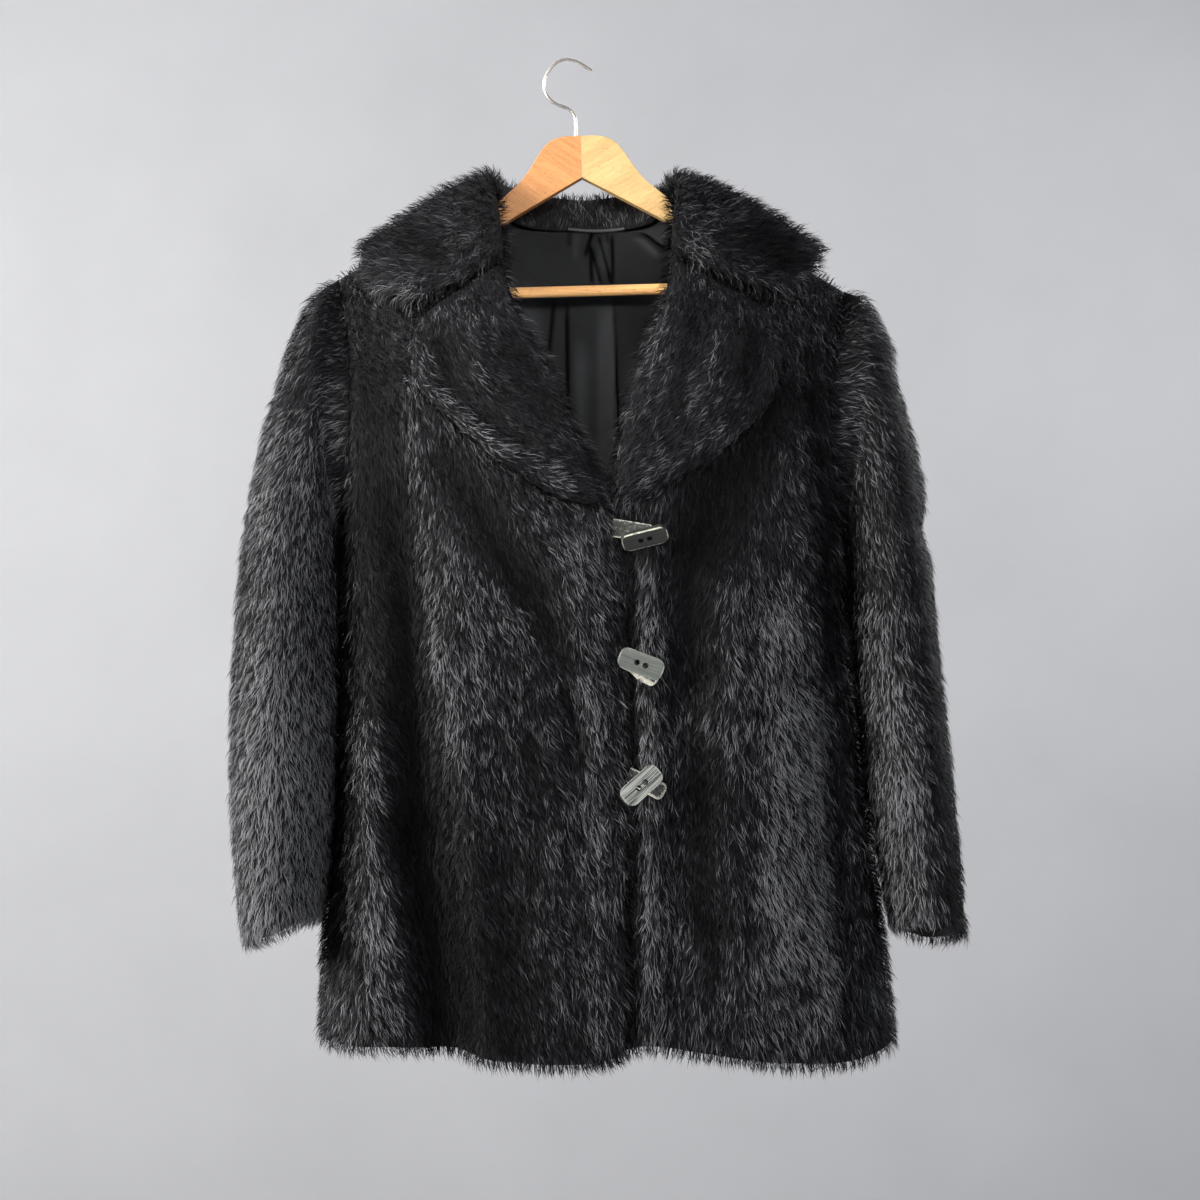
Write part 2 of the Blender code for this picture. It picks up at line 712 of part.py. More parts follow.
# Loops: a strip of thin leather, sewn into the closing edge and slipped over the toggle.
# turn lifts its far end, and slope brings it forward.
LOOP_THICKNESS = 1.8
LOOP_START = 1.2        # from the closing edge
LOOP_CORNER = 5.0
LOOP_SLOT = 6.5
LOOPS = table("z width end_width length turn slope",
              (-436.0, 16, 14, 36, -8, 8),
              (-551.0, 14, 15, 34, -24, 9),
              (-650.0, 13, 15, 36, -26, 9))


def rounded_outline(corners, steps=4):
    """A closed outline of (x, z) points from (x, z, radius) corners, anticlockwise."""
    points = []
    count = len(corners)
    for k in range(count):
        x, z, radius = corners[k]
        before = np.array(corners[k - 1][:2]) - (x, z)
        after = np.array(corners[(k + 1) % count][:2]) - (x, z)
        before = before / np.linalg.norm(before)
        after = after / np.linalg.norm(after)
        half = math.acos(float(np.clip(before @ after, -1, 1))) / 2
        if radius == 0:
            points.append((x, z))
            continue
        middle = (before + after) / np.linalg.norm(before + after)
        centre = np.array((x, z)) + middle * radius / math.sin(half)
        start = np.array((x, z)) + before * radius / math.tan(half) - centre
        bend = math.copysign(1, before[1] * after[0] - before[0] * after[1])
        sweep = bend * (math.pi - 2 * half)
        for step in range(steps + 1):
            angle = sweep * step / steps
            points.append((centre[0] + start[0] * math.cos(angle) - start[1] * math.sin(angle),
                           centre[1] + start[0] * math.sin(angle) + start[1] * math.cos(angle)))
    return points


def ring(x, z, diameter, steps=14):
    """A round hole's outline."""
    turn = np.linspace(0, 2 * math.pi, steps, endpoint=False)
    return [(x + diameter / 2 * math.cos(a), z - diameter / 2 * math.sin(a)) for a in turn]


def turned(turn, tip, swing):
    """The rotation of a toggle or a loop from its angles in degrees."""
    return (Matrix.Rotation(math.radians(swing), 3, "Z")
            @ Matrix.Rotation(math.radians(tip), 3, "X")
            @ Matrix.Rotation(-math.radians(turn), 3, "Y"))


def place(thing, rotation, location):
    """Turn and move a mesh by its points, leaving the object itself unturned."""
    thing.data.transform(thing.matrix_world)
    thing.matrix_world = Matrix.Identity(4)
    thing.data.transform(rotation.to_4x4())
    thing.data.transform(Matrix.Translation([c * MM for c in location]))


def make_toggles(collection):
    """Each toggle with its thread, and the loop that is slipped over it."""
    for i in range(len(TOGGLES["x"])):
        centre = np.array([TOGGLES[axis][i] for axis in "xyz"])
        rotation = turned(TOGGLES["turn"][i], TOGGLES["tip"][i], TOGGLES["swing"][i])
        length, width = TOGGLE_LENGTH / 2, TOGGLE_WIDTH / 2
        outline = rounded_outline([(-length, -width, TOGGLE_CORNER),
                                   (length, -width, TOGGLE_CORNER),
                                   (length, width, TOGGLE_CORNER),
                                   (-length, width, TOGGLE_CORNER)])
        holes = [ring(side * TOGGLE_HOLE_OFFSET, 0, TOGGLE_HOLE) for side in (-1, 1)]
        toggle = plate(f"toggle_{i + 1}", [outline, *holes], TOGGLE_THICKNESS, "horn", collection)
        place(toggle, rotation, centre)
        soften(toggle, TOGGLE_EDGE, 2)

        away = np.array(rotation @ Vector((0, 1, 0)))
        start = centre + away * (TOGGLE_THICKNESS / 2 + SEAM)
        bend = centre + away * (TOGGLE_THICKNESS / 2 + 3)
        foot_x, foot_z = bend[0], bend[2] + 0.5
        cloth = float(torso_y(foot_x, foot_z, -1) + under_step(foot_x, foot_z))
        points = [start, bend, (foot_x, cloth - 3, foot_z), (foot_x, cloth - SEAM - 0.2, foot_z)]
        tube(f"toggle_thread_{i + 1}", points, THREAD_DIAMETER, "thread", collection)

        z, length = LOOPS["z"][i], LOOPS["length"][i]
        near, far = LOOPS["width"][i] / 2, LOOPS["end_width"][i] / 2
        edge = float(edge_x(z))
        turn, slope = LOOPS["turn"][i], LOOPS["slope"][i]
        start = np.array((edge + LOOP_START + near * abs(math.sin(math.radians(turn))),
                          float(torso_y(edge, z, -1)) + WALL / 2 - 1, z))
        outline = rounded_outline([(0, -near, 0), (length, -far, LOOP_CORNER - 0.5),
                                   (length, far, LOOP_CORNER - 0.5), (0, near, 0)])
        rotation = turned(turn, 0, -slope)
        plane = np.array([rotation @ Vector((1, 0, 0)), rotation @ Vector((0, 0, 1))])
        offset = np.array((foot_x - start[0], foot_z - start[2]))
        reach, slot_z = np.linalg.solve(plane[:, [0, 2]].T, offset)
        loop = plate(f"toggle_loop_{i + 1}", [outline, ring(reach, slot_z, LOOP_SLOT)],
                     LOOP_THICKNESS, "leather", collection)
        place(loop, rotation, start)


# Hanger: two wooden arms that meet under the hook, with a round bar between their ends.
# The outline of one arm is given by the distance from the joint; the whole hanger tilts a little.
WOOD_THICKNESS = 10.0
WOOD_EDGE = 4.0
WOOD_SINK = 7.5         # the cloth's wall stands this far above the higher arm's top
HANGER_TILT = 1.57      # degrees, left end up
JOINT_X = RIDGE_X
JOINT_GAP = 0.3
ARM_REACH = 190.0
JOINT_OVERRUN = 8.0     # each arm is drawn past the joint, rounded and then cut flat
ARM_TOP = table("off z",
                (-JOINT_OVERRUN, -70.4),
                (13, -70.4),
                (20, -71.3),
                (27.2, -73.8),
                (33.8, -78.8),
                (40, -87.2),
                (46.1, -97.1),
                (52.7, -106.2),
                (60, -114.4),
                (69, -121.8),
                (77, -128.6),
                (84, -136.8))
ARM_LOW_Z = -108.7      # underside at the joint
ARM_LOW_SLOPE = 0.557
LOBE_START = 156.0      # the arm widens here into the end that holds the bar
LOBE_Z = -226.0
BAR_DIAMETER = 10.0
BAR_SOCKET = 10.6
BAR_Z = -212.8
BAR_SPAN = 160.0        # from the joint to where the bar enters an arm
BAR_SINK = 10.0         # how far the bar enters each arm


def hanger_tilt():
    """The hanger's tilt about the top of its joint."""
    pivot = Vector((JOINT_X * MM, 0, ARM_TOP["z"][0] * MM))
    return (Matrix.Translation(pivot) @ Matrix.Rotation(-math.radians(HANGER_TILT), 4, "Y")
            @ Matrix.Translation(-pivot))


def arm_outline(side):
    """Outline of one arm, from the joint along the top to the end and back underneath."""
    sign = SIGN[side]
    top = [(off, z, 0) for off, z in zip(*ARM_TOP.values())]
    for off in np.linspace(96, ARM_REACH, 5):
        lowered = RIDGE_WALL * WALL + WOOD_SINK + math.sin(math.radians(HANGER_TILT)) * off
        top.append((off, float(ridge(RIDGE_X + off)) - lowered, 4 if off == ARM_REACH else 0))
    neck = LOBE_START - 6
    low = [(ARM_REACH + 1, LOBE_Z + 3, 6), (LOBE_START + 8, LOBE_Z, 8),
           (neck, ARM_LOW_Z - ARM_LOW_SLOPE * neck, 0),
           (0, ARM_LOW_Z, 0), (-JOINT_OVERRUN, ARM_LOW_Z, 0)]
    corners = [(JOINT_X + sign * off, z, radius) for off, z, radius in top + low]
    if side == "left":
        corners = corners[::-1]
    return rounded_outline(corners)


HOOK_DIAMETER = 3.0
HOOK_STEM_X = 8.0
HOOK_STEM_DEPTH = 20.0
HOOK_POINTS = 34
HOOK_PATH = table("x z",
                  (22.6, -9.0),
                  (16.0, -4.8),
                  (8.4, -0.4),
                  (0.0, 1.5),
                  (-6.0, 0.5),
                  (-12.2, -3.2),
                  (-17.1, -9.0),
                  (-20.4, -15.8),
                  (-21.7, -21.9),
                  (-20.4, -28.5),
                  (-17.1, -34.3),
                  (-12.1, -38.8),
                  (-6.3, -41.4),
                  (-0.6, -43.4),
                  (4.2, -46.8),
                  (7.3, -52.0),
                  (8.0, -58.4),
                  (8.0, -66.0))


def make_hanger(collection, cutters):
    """Two arms, the bar in their sockets and the wire hook in its bore."""
    tilt = hanger_tilt()
    arms = {}
    for side, finish in (("right", "orange_wood"), ("left", "yellow_wood")):
        arm = plate(f"hanger_half_{side}", [arm_outline(side)], WOOD_THICKNESS, finish,
                    collection)
        arm.matrix_world = tilt @ arm.matrix_world
        soften(arm, WOOD_EDGE, 3)
        flat = box_cutter(f"joint_cut_{side}", 2 * JOINT_OVERRUN, cutters)
        past = SIGN[side] * (JOINT_GAP / 2 - JOINT_OVERRUN)
        middle_z = (ARM_TOP["z"][0] + ARM_LOW_Z) / 2
        flat.matrix_world = tilt @ Matrix.Translation(((JOINT_X + past) * MM, 0, middle_z * MM))
        cut(arm, flat)
        arms[side] = arm

    top = ARM_TOP["z"][0]
    bore = cutter("hook_bore", HOOK_DIAMETER + 2 * SEAM, HOOK_STEM_DEPTH + 5, cutters)
    bore.location = (HOOK_STEM_X * MM, 0, (top + (5 - HOOK_STEM_DEPTH) / 2) * MM)
    cut(arms["right"], bore)
    order = np.arange(float(len(HOOK_PATH["x"])))
    path = {"order": order, **HOOK_PATH}
    points = [(float(curve(path, "order", "x", k)), 0, float(curve(path, "order", "z", k)))
              for k in np.linspace(0, order[-1], HOOK_POINTS)]
    points.append((HOOK_STEM_X, 0, top - HOOK_STEM_DEPTH + 2 * SEAM))
    tube("hanger_hook", points, HOOK_DIAMETER, "wire", collection)

    for side in ("right", "left"):
        socket = cutter(f"bar_socket_{side}", BAR_SOCKET, 20, cutters)
        middle = BAR_SPAN + BAR_SINK + SEAM - 10
        turn = Matrix.Rotation(math.pi / 2, 4, "Y")
        place_x = JOINT_X + SIGN[side] * middle
        socket.matrix_world = tilt @ Matrix.Translation((place_x * MM, 0, BAR_Z * MM)) @ turn
        cut(arms[side], socket)
    reach = BAR_SPAN + BAR_SINK
    ends = [(JOINT_X - reach, 0, BAR_Z), (JOINT_X + reach, 0, BAR_Z)]
    bar = tube("hanger_bar", ends, BAR_DIAMETER, "orange_wood", collection, sides=4)
    bar.matrix_world = tilt


def clear():
    for thing in list(bpy.data.objects):
        bpy.data.objects.remove(thing)


def add_collection(name):
    collection = bpy.data.collections.new(name)
    bpy.context.scene.collection.children.link(collection)
    return collection


def main():
    clear()
    collection = add_collection(COLLECTION_NAME)
    cutters = add_collection(CUTTERS_NAME)
    make_panels(collection)
    make_sleeves(collection)
    make_lapels_and_collar(collection)
    make_lining(collection)
    make_hang_loop(collection)
    make_toggles(collection)
    make_hanger(collection, cutters)


main()
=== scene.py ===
"""The looks of a black faux fur coat with three toggles, on its wooden hanger.

The garment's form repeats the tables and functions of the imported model, in millimetres, with
closer rows and columns. On top come the pile as joined tapered strands, the satin with its creases,
the cord, horn, leather and wood. X runs to the viewer's right, -Y out of the coat's front, +Z up.
Right and left in names are the wearer's.
"""

import math

import bmesh
import bpy
import numpy as np
from mathutils import Euler, Matrix, Vector
from mathutils import noise as mathutils_noise
from mathutils.bvhtree import BVHTree


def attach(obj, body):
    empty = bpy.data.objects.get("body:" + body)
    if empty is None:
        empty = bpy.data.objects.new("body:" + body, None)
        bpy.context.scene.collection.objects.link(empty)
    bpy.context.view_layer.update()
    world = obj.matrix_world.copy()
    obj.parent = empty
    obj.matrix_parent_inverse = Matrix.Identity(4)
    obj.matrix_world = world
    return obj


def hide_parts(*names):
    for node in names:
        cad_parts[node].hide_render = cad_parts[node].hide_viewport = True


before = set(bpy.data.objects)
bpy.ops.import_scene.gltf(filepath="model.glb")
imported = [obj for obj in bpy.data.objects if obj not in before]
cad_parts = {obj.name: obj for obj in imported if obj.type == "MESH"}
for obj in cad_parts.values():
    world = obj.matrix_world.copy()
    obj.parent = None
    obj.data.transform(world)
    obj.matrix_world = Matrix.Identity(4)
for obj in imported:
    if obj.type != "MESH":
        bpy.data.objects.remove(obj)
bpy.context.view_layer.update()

MM = 0.001

# The cloth
WALL = 5.0              # knitted backing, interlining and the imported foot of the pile
SEAM = 0.3              # gap between neighbouring pieces
LAPEL_WALL = 8.0        # shell and facing, back to back
LAPEL_GAP = 1.0         # the lapel rests this far off the front
COLLAR_WALL = 6.0
LINING_WALL = 1.0
LINING_GAP = 0.6
LINING_EASE = 3.0       # further off near the shoulders, where the back curves most

# The body: superellipse sections that close over the hanger in a shoulder ridge
RIDGE_X = 13.0          # middle of the hanger and of the shoulders
RIDGE_TOP = -71.5       # height at which the two shoulder slopes would meet
RIDGE_SLOPE = 0.585     # fall of the shoulder for each millimetre outwards
RIDGE_ROUND = 8.0       # how softly the two slopes meet
RIDGE_WALL = 1.15       # the sloping wall measures this much more straight down
SECTION_POWER = 2.5     # 2 is an ellipse, more is squarer
SHOULDER_POWER = 1.8
SHOULDER_RUN = 160.0    # height over which the shoulder rounds out to the full depth
MIDDLE_Y = -12.0        # the side seams hang this far in front of the hanger
ARMPIT_Z = -437.0
ARMHOLE_SCOOP = 15.0    # how far the armhole curves in towards the chest
SHOULDER_X = {"right": -210.0, "left": 255.0}
NECK_X = {"right": -68.0, "left": 97.0}
NECK_DROP = 31.9        # how far the back neckline dips below the neck points
NECK_POWER = 6.0        # 2 is a round neckline, more is a flatter one
NECK_HALF = 55.0        # the lining's top edge starts to drop this far beside the neck's middle
NECK_RUN = 35.0         # and is down after this much more
UNDERLAP = 35.0         # the left front passes this far under the right one
UNDER_STEP = WALL + 2.0  # and lies this much deeper there
UNDER_START = 2.0       # it starts to come back up this far beyond the closing edge
UNDER_RUN = 34.0        # and is up after this much more
SIGN = {"right": -1, "left": 1}

# Rows and columns of faces in the panels
BODY_ROWS = 50
ARMHOLE_ROWS = 28
FRONT_COLUMNS = 34
SHOULDER_COLUMNS = 20
NECK_COLUMNS = 24
SIDE_CROWDING = 1.25    # columns stand closer together towards the side seams
RING_STEPS = 2 * ARMHOLE_ROWS


def table(names, *rows):
    """A small table: one numpy column for each name, one row for each section or fold."""
    return {name: np.array([row[i] for row in rows], float) for i, name in enumerate(names.split())}


def curve(rows, key, column, at):
    """A smooth curve through a table's column, read at values of its rising key column."""
    x, y = rows[key], rows[column]
    slope = np.gradient(y, x)
    at = np.clip(at, x[0], x[-1])
    i = np.clip(np.searchsorted(x, at) - 1, 0, len(x) - 2)
    step = x[i + 1] - x[i]
    t = (at - x[i]) / step
    start = y[i] * (2 * t ** 3 - 3 * t ** 2 + 1) + slope[i] * step * (t ** 3 - 2 * t ** 2 + t)
    return start + y[i + 1] * (3 * t ** 2 - 2 * t ** 3) + slope[i + 1] * step * (t ** 3 - t ** 2)


def rows_at(grid, at):
    """A grid of points read at fractional rows, on smooth curves through the given rows."""
    key = np.arange(float(len(grid)))
    flat = grid.reshape(len(grid), -1)
    out = [curve({"row": key, "value": column}, "row", "value", at) for column in flat.T]
    return np.stack(out, -1).reshape(len(at), *grid.shape[1:])


def finer(grid, rows):
    """A grid with more rows, evenly spread."""
    return rows_at(grid, np.linspace(0, len(grid) - 1, rows))


def smooth(t):
    """0 below 0, 1 above 1 and a soft step between."""
    t = np.clip(t, 0, 1)
    return t * t * (3 - 2 * t)


def unit(v):
    """Vectors of length 1 along the given ones."""
    return v / np.maximum(np.linalg.norm(v, axis=-1, keepdims=True), 1e-9)


def stroke(x, z, x_top, z_top, x_low, z_low, width):
    """How far down a slanting line a point is, from 0 to 1, and how many widths beside it."""
    t = (z_top - z) / (z_top - z_low)
    return t, (x - x_top - (x_low - x_top) * t) / width


# Side seams and depth of the body at each height
BODY = table("z x_right x_left front back",
             (-905, -222, 297, 84, 56),
             (-800, -219, 286, 82, 57),
             (-700, -212, 273, 80, 58),
             (-600, -207, 262, 80, 59),
             (-500, -205, 252, 83, 60),
             (-437, -205, 248, 86, 60),
             (-340, -207, 250, 86, 58),
             (-260, -210, 254, 82, 54),
             (-200, -213, 257, 78, 50))

# Hem of the fronts and of the back
HEM = table("x front back",
            (-225, -896, -893),
            (-150, -890, -890),
            (-80, -896, -893),
            (-10, -902, -896),
            (40, -897, -895),
            (60, -888, -894),
            (120, -892, -890),
            (190, -902, -893),
            (250, -906, -896),
            (300, -898, -894))

# Closing edge of the right front, from the hem up to the break of the lapel
EDGE = table("z x",
             (-905, 51),
             (-670, 51),
             (-540, 47),
             (-464, 42),
             (-412, 36))

# Roll lines, where the fronts turn back, from below the break up to the neck
ROLL_RIGHT = table("z x",
                   (-412, 36),
                   (-368, 19),
                   (-325, -2),
                   (-282, -22),
                   (-238, -45),
                   (-190, -58),
                   (-158, -66),
                   (-128, -68))
ROLL_LEFT = table("z x",
                  (-520, 11),
                  (-450, 30),
                  (-394, 43),
                  (-373, 46),
                  (-325, 57),
                  (-277, 72),
                  (-237, 87),
                  (-188, 95),
                  (-161, 98),
                  (-128, 97))

# Long folds: a soft ridge (positive) or valley (negative) along a line on one face
FOLDS = table("face x_top z_top x_low z_low width height",
              (-1, -145, -330, -92, -1010, 20, -17),
              (-1, -185, -520, -175, -1010, 30, 9),
              (-1, -122, -400, -58, -1010, 22, 7),
              (-1, 4, -560, 18, -730, 14, -5),
              (-1, 68, -480, 64, -1010, 16, 3),
              (-1, 94, -440, 106, -640, 18, -8),
              (-1, 98, -660, 94, -860, 16, -6),
              (-1, 150, -480, 165, -1010, 34, 6),
              (-1, 205, -340, 212, -560, 20, 8),
              (-1, 228, -560, 244, -820, 18, -9),
              (1, -120, -380, -140, -1010, 30, -9),
              (1, -40, -420, -52, -1010, 34, 8),
              (1, 60, -400, 70, -1010, 26, -8),
              (1, 150, -440, 172, -1010, 36, 9),
              (1, 205, -520, 232, -1010, 22, -7))
FOLD_RISE = 0.25        # share of its length over which a fold starts
FOLD_FALL = 0.15        # and ends
SEAM_CALM = 0.15        # folds fade out over this share of the half width, at the side seams


def ridge(x):
    """Height of the shoulder line above a point."""
    return RIDGE_TOP - RIDGE_SLOPE * np.sqrt((x - RIDGE_X) ** 2 + RIDGE_ROUND ** 2)


def fold(x, z, face):
    """How far the folds of one face push it outwards."""
    total = np.zeros(np.broadcast(x, z).shape)
    for side, *line, height in zip(*FOLDS.values()):
        if side != face:
            continue
        t, across = stroke(x, z, *line)
        shape = height * np.exp(-across ** 2)
        total = total + shape * smooth(t / FOLD_RISE) * smooth((1 - t) / FOLD_FALL)
    return total


def torso_y(x, z, face, valleys=True):
    """Depth of the body's outer surface: face -1 is the front and 1 the back."""
    right = curve(BODY, "z", "x_right", z)
    left = curve(BODY, "z", "x_left", z)
    off = np.clip(abs(x - (left + right) / 2) / ((left - right) / 2), 0, 1)
    bulge = (1 - off ** SECTION_POWER) ** (1 / SECTION_POWER)
    drop = np.clip((ridge(x) - z) / SHOULDER_RUN, 0, 1)
    shoulder = (1 - (1 - drop) ** SHOULDER_POWER) ** (1 / SHOULDER_POWER)
    push = fold(x, z, face)
    if not valleys:
        push = np.maximum(push, 0)
    depth = curve(BODY, "z", "front" if face < 0 else "back", z)
    out = depth * bulge * shoulder + push * smooth((1 - off) / SEAM_CALM) + SEAM / 2
    return MIDDLE_Y * smooth(drop) + face * out


def edge_x(z):
    """The right front's closing edge."""
    return curve(EDGE, "z", "x", z)


def inner_edge(side, z):
    """A front's inner edge: closing edge below the break, roll line above it."""
    if side == "right":
        return np.where(z < EDGE["z"][-1], edge_x(z), curve(ROLL_RIGHT, "z", "x", z))
    return np.where(z < ROLL_LEFT["z"][0], edge_x(z) - UNDERLAP, curve(ROLL_LEFT, "z", "x", z))


def under_step(x, z):
    """How much deeper the left front lies, where it passes under the right one."""
    return UNDER_STEP * (1 - smooth((x - edge_x(z) - UNDER_START) / UNDER_RUN))


def close_at_ends(steps):
    """Shares from 0 to 1, closer together at both ends."""
    return (1 - np.cos(np.linspace(0, math.pi, steps + 1))) / 2


def row_rise():
    """For each row, how far it is between armpit (0) and shoulder (1); 0 below the armpit."""
    return np.concatenate([np.zeros(BODY_ROWS), close_at_ends(ARMHOLE_ROWS)])


def row_fall():
    """For each row, how far it is between armpit (0) and hem (1); 0 above the armpit."""
    return np.concatenate([np.linspace(1, 0, BODY_ROWS + 1), np.zeros(ARMHOLE_ROWS)])


def outer_edge(side):
    """Side seam and armhole as one edge, from the hem up: x of each row."""
    rise, fall = row_rise(), row_fall()
    seam = curve(BODY, "z", "x_" + side, ARMPIT_Z + (BODY["z"][0] - ARMPIT_Z) * fall)
    scoop = SIGN[side] * ARMHOLE_SCOOP * np.sin(math.pi * rise)
    return seam + (SHOULDER_X[side] - seam) * rise - scoop


def row_heights(top_z, hem_z):
    """Heights of a grid of points from the heights of its top and bottom rows."""
    rise, fall = row_rise()[:, None], row_fall()[:, None]
    return ARMPIT_Z + (top_z - ARMPIT_Z) * rise + (hem_z - ARMPIT_Z) * fall


def front_grid(side):
    """Outer surface of one front: rows from hem to shoulder, columns from side seam to edge."""
    share = np.linspace(0, 1, FRONT_COLUMNS + 1) ** SIDE_CROWDING
    out_x = outer_edge(side)
    edge_z = row_heights(ridge(NECK_X[side]), HEM["front"][4])[:, 0]
    in_x = inner_edge(side, edge_z)
    x = out_x[:, None] + (in_x - out_x)[:, None] * share
    z = row_heights(ridge(x[-1]), curve(HEM, "x", "front", x[0]))
    y = torso_y(x, z, -1)
    if side == "left":
        y = y + under_step(x, z)
    return np.stack([x, y, z], -1)


def back_neck(x):
    """Height of the back's top edge: shoulder line outside the neck points, a dip between."""
    middle = (NECK_X["right"] + NECK_X["left"]) / 2
    off = np.clip(abs(x - middle) / ((NECK_X["left"] - NECK_X["right"]) / 2), 0, 1)
    dip = NECK_DROP * (1 - off ** NECK_POWER) ** 0.5
    return np.where(off < 1, ridge(NECK_X["right"]) - dip, ridge(x))


def back_grid(hem_lift=0.0, neck_drop=0.0, shoulder_drop=0.0):
    """Outer surface of the back: rows from hem to neck, columns from right to left side seam.
    The lining uses it too, with its edges drawn in."""
    out_right, out_left = outer_edge("right"), outer_edge("left")
    width = SHOULDER_X["left"] - SHOULDER_X["right"]
    neck = [(NECK_X[side] - SHOULDER_X["right"]) / width for side in ("right", "left")]
    crowded = np.linspace(0, 1, SHOULDER_COLUMNS + 1) ** SIDE_CROWDING
    share = np.concatenate([neck[0] * crowded,
                            neck[0] + (neck[1] - neck[0]) * close_at_ends(NECK_COLUMNS)[1:-1],
                            1 - (1 - neck[1]) * crowded[::-1]])
    x = out_right[:, None] + (out_left - out_right)[:, None] * share
    beside = smooth((abs(x[-1] - RIDGE_X) - NECK_HALF) / NECK_RUN)
    top = back_neck(x[-1]) - neck_drop - (shoulder_drop - neck_drop) * beside
    z = row_heights(top, curve(HEM, "x", "back", x[0]) + hem_lift)
    return np.stack([x, torso_y(x, z, 1), z], -1)


def columns_run(grid, wrap=False):
    """The direction across a grid's columns at each point."""
    if wrap:
        return np.roll(grid, -1, 1) - np.roll(grid, 1, 1)
    return np.gradient(grid, axis=1)


def grid_normals(grid, wrap=False):
    """Unit normals of a grid of points, across its columns and up its rows."""
    return unit(np.cross(columns_run(grid, wrap), np.gradient(grid, axis=0)))


def facing(outer, inner, wrap=False):
    """The sign that turns a wall's grid normals away from its inner surface."""
    return np.sign(np.sum(grid_normals(outer, wrap) * (outer - inner)))


def panel_inside(side, grid, normal, thickness):
    """The inner surface of a body panel. At side seams and shoulders both panels' walls run
    the same way, so that they meet edge to edge and stay on their own side of the seam."""
    columns = {"right": [0], "left": [-1], "both": [0, -1]}[side]
    for column in columns:
        outward = -1.0 if column == 0 else 1.0
        normal[:BODY_ROWS + 1, column] = (outward, 0, 0)
    normal[-1] = (0, 0, RIDGE_WALL)
    inner = grid - normal * thickness
    face = -1 if side != "both" else 1
    middle = MIDDLE_Y * smooth((ridge(inner[..., 0]) - inner[..., 2]) / SHOULDER_RUN)
    inner[..., 1] = middle + face * np.maximum(face * (inner[..., 1] - middle), SEAM / 2)
    return inner


def front_walls(side):
    """Outer and inner surface of a front, columns from left to right as seen."""
    grid = front_grid(side)
    if side == "left":
        grid = grid[:, ::-1]
    return grid, panel_inside(side, grid, grid_normals(grid), WALL)


def back_walls():
    """Outer and inner surface of the back."""
    grid = back_grid()
    normal = -grid_normals(grid)
    neck = slice(SHOULDER_COLUMNS + 1, SHOULDER_COLUMNS + NECK_COLUMNS)
    neck_normal = normal[-1, neck].copy()
    inner = panel_inside("both", grid, normal, WALL)
    inner[-1, neck] = grid[-1, neck] - neck_normal * WALL
    return grid, inner


# Sleeves: each ring hangs between an inner point beside the body and an outer point
SLEEVES = {
    "right": table("x_in z_in x_out z_out y depth lift",
                   (-208, -447, -226, -215, -4, 50, 0),
                   (-210, -459, -240, -240, -6, 54, 0),
                   (-211, -472, -252, -272, -8, 57, 0),
                   (-212, -487, -262, -312, -10, 59, 0),
                   (-213, -504, -271, -352, -13, 60, 0),
                   (-213, -524, -280, -395, -16, 61, 0),
                   (-213, -548, -288, -443, -19, 62, 0),
                   (-214, -580, -293, -498, -22, 62, 0),
                   (-215, -620, -296, -558, -25, 62, 0),
                   (-218, -662, -297, -622, -28, 62, 0),
                   (-222, -702, -295, -684, -31, 61, 0),
                   (-226, -742, -290, -746, -34, 60, 3),
                   (-231, -782, -283, -806, -37, 58, 9)),
    "left": table("x_in z_in x_out z_out y depth lift",
                  (251, -447, 270, -222, -4, 50, 0),
                  (253, -458, 286, -248, -6, 54, 0),
                  (255, -470, 298, -280, -8, 57, 0),
                  (257, -483, 308, -318, -10, 60, 0),
                  (259, -498, 317, -356, -13, 62, 0),
                  (261, -516, 324, -398, -16, 63, 0),
                  (264, -540, 329, -446, -19, 64, 0),
                  (268, -574, 334, -502, -22, 65, 0),
                  (273, -614, 339, -562, -25, 65, 0),
                  (279, -660, 345, -624, -28, 65, 0),
                  (286, -704, 350, -686, -31, 64, 0),
                  (293, -748, 355, -746, -35, 62, 6),
                  (300, -788, 354, -800, -39, 59, 18)),
}
RING_POWER = 0.88       # 1 is an ellipse, less is fuller
SHOULDER_EASE = 0.8     # the sleeve head stands this much further off at the shoulder point
EASE_BELOW = 30.0       # from this far below the shoulder point
EASE_RUN = 25.0         # and all of it after this much more


def armhole_ring(side):
    """The body's armhole as a ring: up its front edge and down its back edge."""
    column = 0 if side == "right" else -1
    front = front_walls(side)[0][BODY_ROWS:, column]
    back = back_walls()[0][BODY_ROWS:, column]
    return np.concatenate([front, back[-2:0:-1]])


def sleeve_grid(side):
    """Outer surface of a sleeve: rings from the armhole to the cuff."""
    first = armhole_ring(side)
    top = smooth((first[:, 2] - ridge(SHOULDER_X[side]) + EASE_BELOW) / EASE_RUN)
    first[:, 0] += SIGN[side] * (SEAM + SHOULDER_EASE * top)
    turn = np.linspace(0, 2 * math.pi, RING_STEPS, endpoint=False)
    reach, fore = np.cos(turn), np.sin(turn)
    bulge = np.sign(fore) * abs(fore) ** RING_POWER
    rings = [first]
    for x_in, z_in, x_out, z_out, y, depth, lift in zip(*SLEEVES[side].values()):
        middle_x, middle_z = (x_in + x_out) / 2, (z_in + z_out) / 2
        rings.append(np.stack([middle_x + (x_in - x_out) / 2 * reach,
                               y - depth * bulge,
                               middle_z + (z_in - z_out) / 2 * reach + lift * fore], -1))
    return np.array(rings)


